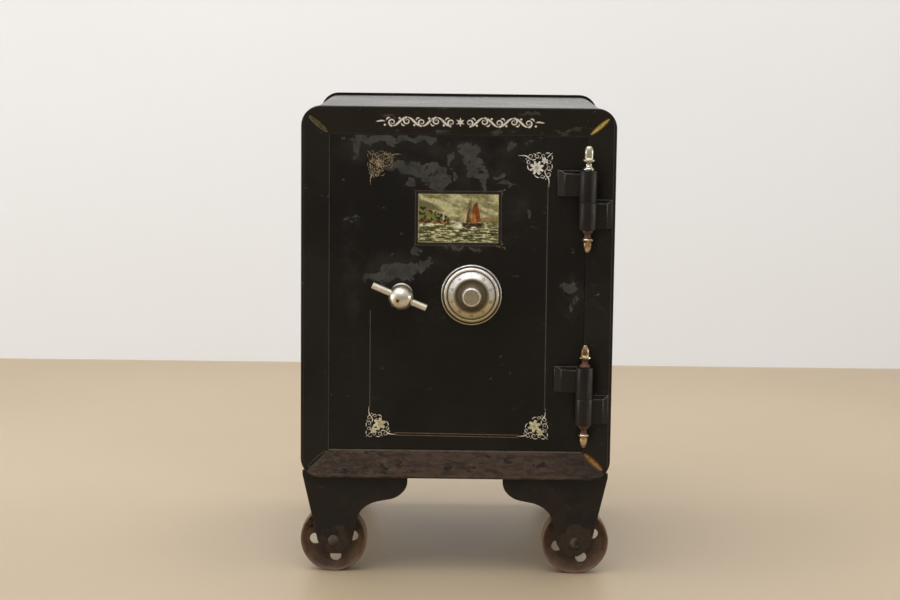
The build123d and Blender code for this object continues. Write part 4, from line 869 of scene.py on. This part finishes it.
def mitre_leaf(name, side, up, width, leaf, line_width):
    """A gilt leaf along the mitre of the frame's sloping face, filled if it has no line width."""
    relief = Relief(frame_face, 0.15)
    corner = (side * HALF_W / MM, MID_Z / MM + up * HALF_H / MM)
    start = (corner[0] - side * MITRE_IN, corner[1] - up * MITRE_IN * 1.3)
    end = (corner[0] - side * MITRE_OUT, corner[1] - up * MITRE_OUT * 1.02)
    if not line_width:
        relief.stroke(line(start, end, 20), width, leaf_taper)
    else:
        across = 0.42 * width
        for turn in (-1, 1):
            bulge = [(p[0] + turn * across * side, p[1] - turn * across * up) for p in (start, end)]
            relief.stroke(bow(start, *bulge, end, 20), line_width)
    relief.build(name, leaf, "root")


for name, side, up, width, leaf, line_width in (
    ("mitre_leaf_top_left", -1, 1, 5.2, "old_gold", 0),
    ("mitre_edge_top_left", -1, 1, 8.0, "worn_gold", 1.0),
    ("mitre_leaf_top_right", 1, 1, 6.0, "bright_gold", 0),
    ("mitre_edge_top_right", 1, 1, 9.0, "red_gold", 1.0),
    ("mitre_leaf_bottom_right", 1, -1, 6.4, "orange_gold", 0),
    ("mitre_edge_bottom_right", 1, -1, 10.5, "red_gold", 1.2),
    ("mitre_leaf_bottom_left", -1, -1, 8.5, "old_gold", 1.0),
):
    mitre_leaf(name, side, up, width, leaf, line_width)


# ---- The picture ----
PICTURE = (-70.0, 599.0, 70.8, 684.5)  # left, bottom, right, top in mm
PICTURE_CELLS = (260, 156)


def value_noise(u, v, seed, octaves=4, gain=0.55):
    """Smooth fractal noise from a seeded lattice, 0..1, over arrays u and v."""
    total, weight, size = np.zeros_like(u), 0.0, 1.0
    for octave in range(octaves):
        lattice = np.random.RandomState(seed + octave).rand(64, 64)
        x, y = u * size, v * size
        i, j = np.floor(x).astype(int), np.floor(y).astype(int)
        s, t = x - i, y - j
        s, t = s * s * (3 - 2 * s), t * t * (3 - 2 * t)
        rows = [
            lattice[row % 64, i % 64] * (1 - s) + lattice[row % 64, (i + 1) % 64] * s for row in (j, j + 1)
        ]
        total += (rows[0] * (1 - t) + rows[1] * t) * gain ** octave
        weight += gain ** octave
        size *= 2
    return total / weight


def ease(value, low, high):
    """A smooth step over arrays."""
    t = np.clip((value - low) / (high - low), 0, 1)
    return t * t * (3 - 2 * t)


def seascape(s, t):
    """Colours of a small marine picture: a wooded point, a cutter under rust-red sails, a
    running sea. s and t run 0..1 across and up. Returns linear colours."""
    canvas = np.zeros(s.shape + (3,))

    def lay(mask, colour):
        shade = np.asarray(colour, float)
        canvas[:] = canvas * (1 - mask[..., None]) + shade * mask[..., None]

    cloud = value_noise(4 * s + 2.2 * t, 5 * t + 1.5 * s, 3, 5)
    low_cloud = value_noise(9 * s, 14 * t, 11, 4)
    lay(np.ones_like(s), (0.27, 0.25, 0.115))
    lay(ease(t, 0.55, 1.0) * 0.5, (0.19, 0.195, 0.1))
    lay(ease(cloud, 0.47, 0.62) * 0.85, (0.6, 0.56, 0.31))
    lay(ease(cloud, 0.45, 0.34) * 0.8, (0.115, 0.11, 0.055))
    lay(ease(low_cloud, 0.55, 0.75) * 0.5 * ease(t, 0.5, 0.7), (0.16, 0.18, 0.12))
    ridge = 0.5 + 0.06 * value_noise(7 * s, 0 * t, 21, 3) * ease(s, 0.6, 0.7) * ease(s, 1.02, 0.86)
    lay(ease(ridge - t, -0.004, 0.012) * ease(s, 0.6, 0.66), (0.3, 0.21, 0.09))
    sea = ease(0.455 - t, -0.01, 0.02)
    chop = value_noise(13 * s + 3 * t, 40 * t ** 0.8, 31, 5, 0.62)
    swell = value_noise(5 * s - 4 * t, 15 * t, 37, 3)
    lay(sea, (0.1, 0.105, 0.035))
    lay(sea * ease(swell, 0.4, 0.6) * 0.7, (0.24, 0.225, 0.085))
    lay(sea * ease(chop, 0.53, 0.6) * 0.9, (0.66, 0.64, 0.4))
    lay(sea * ease(chop, 0.47, 0.4) * 0.85 * ease(t, 0.46, 0.2), (0.03, 0.036, 0.012))
    crown = 0.48 + 0.3 * np.clip(1 - s / 0.4, 0, 1) ** 0.7
    crown = crown + 0.1 * (value_noise(16 * s, 0 * t, 41, 3) - 0.5)
    point_land = ease(crown - t, -0.005, 0.015) * ease(t, 0.36, 0.385) * ease(s, 0.405, 0.385)
    trees = value_noise(24 * s, 20 * t, 47, 4, 0.65)
    lay(point_land, (0.05, 0.055, 0.016))
    lay(point_land * ease(trees, 0.49, 0.57), (0.21, 0.2, 0.065))
    lay(point_land * ease(trees, 0.45, 0.38), (0.01, 0.011, 0.005))
    shore = ease(0.445 - t, -0.01, 0.01) * point_land
    lay(shore, (0.075, 0.03, 0.014))
    lay(shore * ease(value_noise(40 * s, 30 * t, 53, 3), 0.5, 0.6), (0.36, 0.19, 0.07))
    tower = ease(0.009 - np.abs(s - 0.315), -0.003, 0.003)
    tower = tower * ease(t, 0.46, 0.47) * ease(0.66 - t, -0.006, 0.006)
    lay(tower, (0.6, 0.56, 0.38))
    lay(tower * ease(t, 0.625, 0.635), (0.22, 0.05, 0.02))
    foam = ease(0.035 - np.abs(t - 0.375 + 0.02 * np.sin(21 * s)), 0, 0.02) * ease(s, 0.66, 0.2)
    lay(foam * ease(chop, 0.42, 0.56), (0.8, 0.77, 0.54))
    for points, tint, dark in (
        ([(0.665, 0.4), (0.785, 0.43), (0.735, 0.88), (0.672, 0.74)],
         (0.23, 0.062, 0.017), (0.07, 0.02, 0.008)),
        ([(0.54, 0.42), (0.645, 0.4), (0.648, 0.9)], (0.2, 0.095, 0.035), (0.075, 0.032, 0.013)),
        ([(0.5, 0.41), (0.59, 0.4), (0.628, 0.74)], (0.55, 0.47, 0.25), (0.24, 0.19, 0.09)),
        ([(0.668, 0.405), (0.735, 0.415), (0.715, 0.6), (0.672, 0.64)],
         (0.46, 0.17, 0.04), (0.2, 0.07, 0.02)),
    ):
        canvas_patch = np.ones_like(s)  # a sail, with vertical seams
        for (s0, t0), (s1, t1) in zip(points, points[1:] + points[:1]):
            cross = (s1 - s0) * (t - t0) * 0.6 - (t1 - t0) * 0.6 * (s - s0)
            canvas_patch = canvas_patch * ease(cross, -0.0004, 0.0012)
        lay(canvas_patch, tint)
        lay(canvas_patch * ease(value_noise(34 * s, 9 * t, 61, 3), 0.52, 0.66) * 0.7, dark)
    mast = ease(0.0045 - np.abs(s - 0.655), -0.001, 0.002) * ease(t, 0.37, 0.38) * ease(0.94 - t, 0, 0.01)
    lay(mast, (0.03, 0.018, 0.01))
    keel = 0.315 + 0.16 * (s - 0.65) ** 2 * 11
    hull = ease(t - keel, -0.002, 0.006) * ease(0.398 + 0.1 * np.abs(s - 0.65) - t, -0.004, 0.004)
    hull = hull * ease(s, 0.5, 0.518) * ease(0.815 - s, 0, 0.018)
    lay(hull, (0.03, 0.015, 0.01))
    lay(hull * ease(value_noise(40 * s, 60 * t, 67, 3), 0.54, 0.62) * 0.8, (0.22, 0.12, 0.05))
    bow_wave = ease(0.075 - np.hypot(s - 0.495, (t - 0.33) * 0.6), 0, 0.03) + ease(
        0.06 - np.hypot(s - 0.7, (t - 0.3) * 1.2), 0, 0.03)
    lay(np.clip(bow_wave, 0, 1) * ease(chop, 0.4, 0.54) * 0.95, (0.8, 0.77, 0.56))
    edge = np.minimum(np.minimum(s, 1 - s) * 1.6, np.minimum(t, 1 - t))
    lay(ease(edge, 0.016, 0.008) * 0.7, (0.4, 0.37, 0.17))
    dabs = ease(value_noise(44 * s, 27 * t, 71, 4, 0.7), 0.36, 0.64)
    return np.clip(canvas * (1 + (0.17 + 0.15 * sea)[..., None] * (2 * dabs[..., None] - 1)), 0, 1)


def picture():
    """A fine grid that carries the seascape's colours, closed behind as a thin plate."""
    left, bottom, right, top = (value * MM for value in PICTURE)
    across, up = PICTURE_CELLS
    s, t = np.meshgrid(np.linspace(0, 1, across + 1), np.linspace(0, 1, up + 1))
    colours = seascape(s, t)
    front = DOOR_Y - 0.18 * MM
    rear = DOOR_Y + 0.05 * MM
    x, z = left + (right - left) * s, bottom + (top - bottom) * t
    vertices = [(a, front, b) for a, b in zip(x.ravel(), z.ravel())]
    width = across + 1
    faces = [
        (j * width + i, j * width + i + 1, (j + 1) * width + i + 1, (j + 1) * width + i)
        for j in range(up) for i in range(across)
    ]
    corners = (0, across, up * width + across, up * width)
    rear_start = len(vertices)
    vertices += [(vertices[c][0], rear, vertices[c][2]) for c in corners]
    outline = (
        range(width),
        [j * width + across for j in range(up + 1)],
        [up * width + i for i in range(across, -1, -1)],
        [j * width for j in range(up, -1, -1)],
    )
    for k, run in enumerate(outline):
        faces.append((*reversed(run), rear_start + k, rear_start + (k + 1) % 4))
    faces.append(tuple(rear_start + k for k in (3, 2, 1, 0)))
    paint = varnished_picture("varnished_picture")
    made = piece("seascape_picture", vertices, faces, paint, "door")
    attribute = made.data.color_attributes.new("paint", "FLOAT_COLOR", "POINT")
    values = np.ones((len(vertices), 4))
    values[:rear_start, :3] = colours.reshape(-1, 3)
    values[rear_start:, :3] = (0.05, 0.045, 0.03)
    attribute.data.foreach_set("color", values.ravel())


picture()

BORDER = 5.0  # gap between the picture and its thin outer line
left, bottom, right, top = PICTURE
for name, inset, width, leaf in (
    ("picture_outer_line", BORDER, 2.0, "maroon_line"), ("picture_black_border", 1.5, 3.2, "black_line"),
):
    border = Relief(door_face, 0.1)
    outline = [(left - inset, bottom - inset), (right + inset, bottom - inset),
               (right + inset, top + inset), (left - inset, top + inset)]
    for a, b in zip(outline, outline[1:] + outline[:1]):
        border.stroke(line(a, b, 24), width)
    border.build(name, leaf, "door")

sprigs = Relief(door_face, 0.12)
for x, z, side, up, size in (
    (right + BORDER, top + BORDER, 1, 1, 1.0), (right + BORDER, bottom - BORDER, 1, -1, 1.3),
    (left - BORDER, top + BORDER, -1, 1, 0.5), (left - BORDER, bottom - BORDER, -1, -1, 0.45),
):
    for along, out, radius, start in ((4.5, 3.5, 2.1, 200), (-2.0, 1.5, 1.3, 20), (1.5, -2.5, 1.3, 120)):
        spiral = curl(x + side * along * size, z + up * out * size, radius * size, start,
                      330 * side * up, 0.3, 16)
        sprigs.stroke(spiral, 0.9 * size, leaf_taper)
    for along, out in ((-5.5, 0.5), (0.5, -6.0), (1.6, 1.2)):
        sprigs.disc(x + side * along * size, z + up * out * size, 0.8 * size)
sprigs.build("picture_sprigs", "sprig_gold", "door")


# ---- Dial ----
dial_low, dial_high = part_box("dial")
ring_low, ring_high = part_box("dial_ring")
RING_R = (ring_high.x - ring_low.x) / 2
DIAL_R = (dial_high.x - dial_low.x) / 2
RING_REAR = ring_high.y
BEVEL_OUTER = (DIAL_R, dial_low.y + 6.5 * MM)  # radius and Y of the numbered bevel's edges
BEVEL_INNER = (29.5 * MM, dial_low.y)
REEDS = 132
REEDED_ROWS = (5, 6, 7)  # of the ring's profile
REED_HEIGHT = 0.34 * MM


def reeded_ring():
    """The dial's ring, with fine radial reeding on its convex front. The profile is
    (radius, y) with the ring's hole inside."""
    front = RING_REAR - 11.4 * MM
    profile = [(DIAL_R + out * MM, front + back * MM) for out, back in (
        (0.8, 11.4), (0.8, 2.6), (1.0, 1.8), (1.7, 1.3), (2.0, 1.0), (3.4, 0.5), (5.0, 1.2), (6.6, 2.9),
        (7.0, 3.4), (7.6, 6.2), (8.5, 6.4),
    )]
    profile += [(RING_R - inward * MM, front + back * MM) for inward, back in (
        (2.4, 4.6), (1.5, 4.1), (0.6, 4.5), (0, 5.6), (0, 11.4),
    )]
    vertices, faces = [], []
    rows, segments = len(profile), REEDS * 6
    for k in range(segments):
        angle = math.tau * k / segments
        for row, (radius, y) in enumerate(profile):
            if row in REEDED_ROWS:
                y -= REED_HEIGHT * (0.5 + 0.5 * math.cos(REEDS * angle))
            vertices.append((DIAL_X + radius * math.sin(angle), y, DIAL_Z + radius * math.cos(angle)))
        a, b = k * rows, ((k + 1) % segments) * rows
        for row in range(rows):
            following = (row + 1) % rows
            faces.append((a + row, a + following, b + following, b + row))
    ring = piece("dial_ring_reeded", vertices, faces, ring_nickel, "door")
    ring.data.shade_smooth()
    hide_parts("dial_ring")


reeded_ring()

engraved = bpy.data.materials["engraved_black"]
MARKS = 100
MARK_LIFT = 0.03 * MM
MARK_SUNK = 0.15 * MM
NUMBER_SIZE = 6.2
NUMBER_R = 34.9 * MM


def bevel_point(angle, radius, lift):
    """A point lift proud of the numbered bevel, angle clockwise from the top."""
    share = (radius - BEVEL_INNER[0]) / (BEVEL_OUTER[0] - BEVEL_INNER[0])
    y = BEVEL_INNER[1] + (BEVEL_OUTER[1] - BEVEL_INNER[1]) * share
    slope = math.atan2(BEVEL_OUTER[1] - BEVEL_INNER[1], BEVEL_OUTER[0] - BEVEL_INNER[0])
    reach = radius + lift * math.sin(slope)
    return (DIAL_X + reach * math.sin(angle), y - lift * math.cos(slope), DIAL_Z + reach * math.cos(angle))


def graduations():
    """A hundred lines, longer at the fives and the tens."""
    vertices, faces = [], []
    for k in range(MARKS):
        angle = math.tau * k / MARKS
        length = 3.6 if k % 10 == 0 else 3.0 if k % 5 == 0 else 2.2
        half = (0.36 if k % 5 == 0 else 0.24) * MM
        outer = DIAL_R - 0.5 * MM
        inner = outer - length * MM
        start = len(vertices)
        for lift in (MARK_LIFT, -MARK_SUNK):
            for radius, side in ((inner, -1), (inner, 1), (outer, 1), (outer, -1)):
                vertices.append(bevel_point(angle + side * half / radius, radius, lift))
        a = list(range(start, start + 4))
        b = list(range(start + 4, start + 8))
        faces += [tuple(a), tuple(reversed(b))]
        faces += [(a[i], b[i], b[(i + 1) % 4], a[(i + 1) % 4]) for i in range(4)]
    piece("dial_graduations", vertices, faces, engraved, "dial")


def numerals():
    """The tens, 0 to 90, engraved round the bevel and read from outside."""
    vertices, faces = [], []
    for k in range(10):
        text = bpy.data.curves.new(f"number_{k}", "FONT")
        text.body = str(k * 10)
        text.size = NUMBER_SIZE
        text.align_x = "CENTER"
        text.align_y = "CENTER"
        text.extrude = 0.5
        text.resolution_u = 3
        holder = bpy.data.objects.new("number", text)
        scene.collection.objects.link(holder)
        bpy.context.view_layer.update()
        shape = holder.evaluated_get(bpy.context.evaluated_depsgraph_get()).to_mesh()
        start = len(vertices)
        for vertex in shape.vertices:
            radius = NUMBER_R + vertex.co.y * MM
            angle = math.tau * k / 10 + vertex.co.x * MM / radius
            vertices.append(bevel_point(angle, radius, MARK_LIFT if vertex.co.z > 0 else -MARK_SUNK))
        faces += [tuple(start + v for v in polygon.vertices) for polygon in shape.polygons]
        bpy.data.objects.remove(holder)
    piece("dial_numerals", vertices, faces, engraved, "dial")


graduations()
numerals()


# ---- Stage, light and camera ----
def stage_plane(name, corners, material):
    mesh = bpy.data.meshes.new(name)
    mesh.from_pydata(corners, [], [(0, 1, 2, 3)])
    mesh.materials.append(material)
    made = bpy.data.objects.new(name, mesh)
    scene.collection.objects.link(made)


def stage_paint(name, colour_a, colour_b, rough, one_sided=False):
    """Matt paint; a view from behind looks through one that is one_sided."""
    look = Look(name)
    look.colour = look.mix(look.noise(0.8, 3).step(0.3, 0.7), colour_a, colour_b)
    if one_sided:
        both = look.value("ShaderNodeMixShader", 0, {
            0: look.value("ShaderNodeNewGeometry", "Backfacing"),
            1: Value(look, look.tree.nodes["Principled BSDF"].outputs[0]),
            2: look.value("ShaderNodeBsdfTransparent", 0),
        })
        look.feed(look.tree.nodes["Material Output"], {"Surface": both})
    return look.finish(rough)


WALL_Y = 2.0
FAR = 8.0  # half width of the floor and the wall
floor_z = cad_box[0][2]
stage_plane("floor", [(-FAR, -FAR, floor_z), (FAR, -FAR, floor_z), (FAR, FAR, floor_z), (-FAR, FAR, floor_z)],
            stage_paint("floor_paint", (0.446, 0.348, 0.231), (0.483, 0.38, 0.258), 0.45))
stage_plane("wall", [(-FAR, WALL_Y, floor_z), (FAR, WALL_Y, floor_z), (FAR, WALL_Y, 5), (-FAR, WALL_Y, 5)],
            stage_paint("wall_paint", (0.81, 0.825, 0.85), (0.83, 0.845, 0.87), 0.7, one_sided=True))


def area_light(name, place, target, width, height, energy, colour):
    data = bpy.data.lights.new(name, "AREA")
    data.shape = "RECTANGLE"
    data.size = width
    data.size_y = height
    data.energy = energy
    data.color = colour
    made = bpy.data.objects.new(name, data)
    made.location = place
    made.rotation_euler = (Vector(target) - Vector(place)).to_track_quat("-Z", "Y").to_euler()
    made.visible_camera = False
    scene.collection.objects.link(made)


area_light("overhead", (-0.7, -1.25, 3.3), (-0.1, -0.2, 0.4), 3.4, 2.2, 47, (1.0, 0.985, 0.96))
area_light("left_window", (-3.2, -1.6, 1.6), (0, -0.2, 0.5), 1.6, 2.0, 8, (0.97, 0.98, 1.0))
for side, energy in ((-1, 54), (1, 30)):  # low fills that brighten the floor under the safe
    area_light(f"low_fill_{side}", (5 * side, -0.4, 0.85), (0, 0, 0.03), 2.0, 0.9, energy, (1.0, 0.98, 0.95))
area_light("wall_wash", (0, 0.6, 3.6), (0, 2.0, 1.0), 5.0, 1.0, 54, (0.955, 0.98, 1.0))

sky = Look("studio", bpy.data.worlds)
upward = sky.value("ShaderNodeTexCoord", "Generated").part("Z")
brightness = sky.value("ShaderNodeMapRange", "Result", {
    "Value": upward, "From Min": -0.1, "From Max": 0.75, "To Min": 0.2, "To Max": 0.88,
})
sky.feed(sky.tree.nodes["Background"], {"Color": (1.0, 0.985, 0.96), "Strength": brightness})
scene.world = sky.made

CAMERA_PLACE = Vector((-0.004, -3.924, 1.0115))
CAMERA_YAW = math.radians(-0.134)
CAMERA_PITCH = math.radians(7.96)
CAMERA_ROLL = math.radians(0.65)
camera_data = bpy.data.cameras.new("camera")
camera_data.sensor_width = 36.0
camera_data.lens = 84.25
camera = bpy.data.objects.new("camera", camera_data)
scene.collection.objects.link(camera)
camera.matrix_world = (
    Matrix.Translation(CAMERA_PLACE) @ Matrix.Rotation(-CAMERA_YAW, 4, "Z")
    @ Matrix.Rotation(math.pi / 2 - CAMERA_PITCH, 4, "X") @ Matrix.Rotation(CAMERA_ROLL, 4, "Z")
)
scene.camera = camera
scene.view_settings.view_transform = "Standard"

bpy.context.view_layer.update()
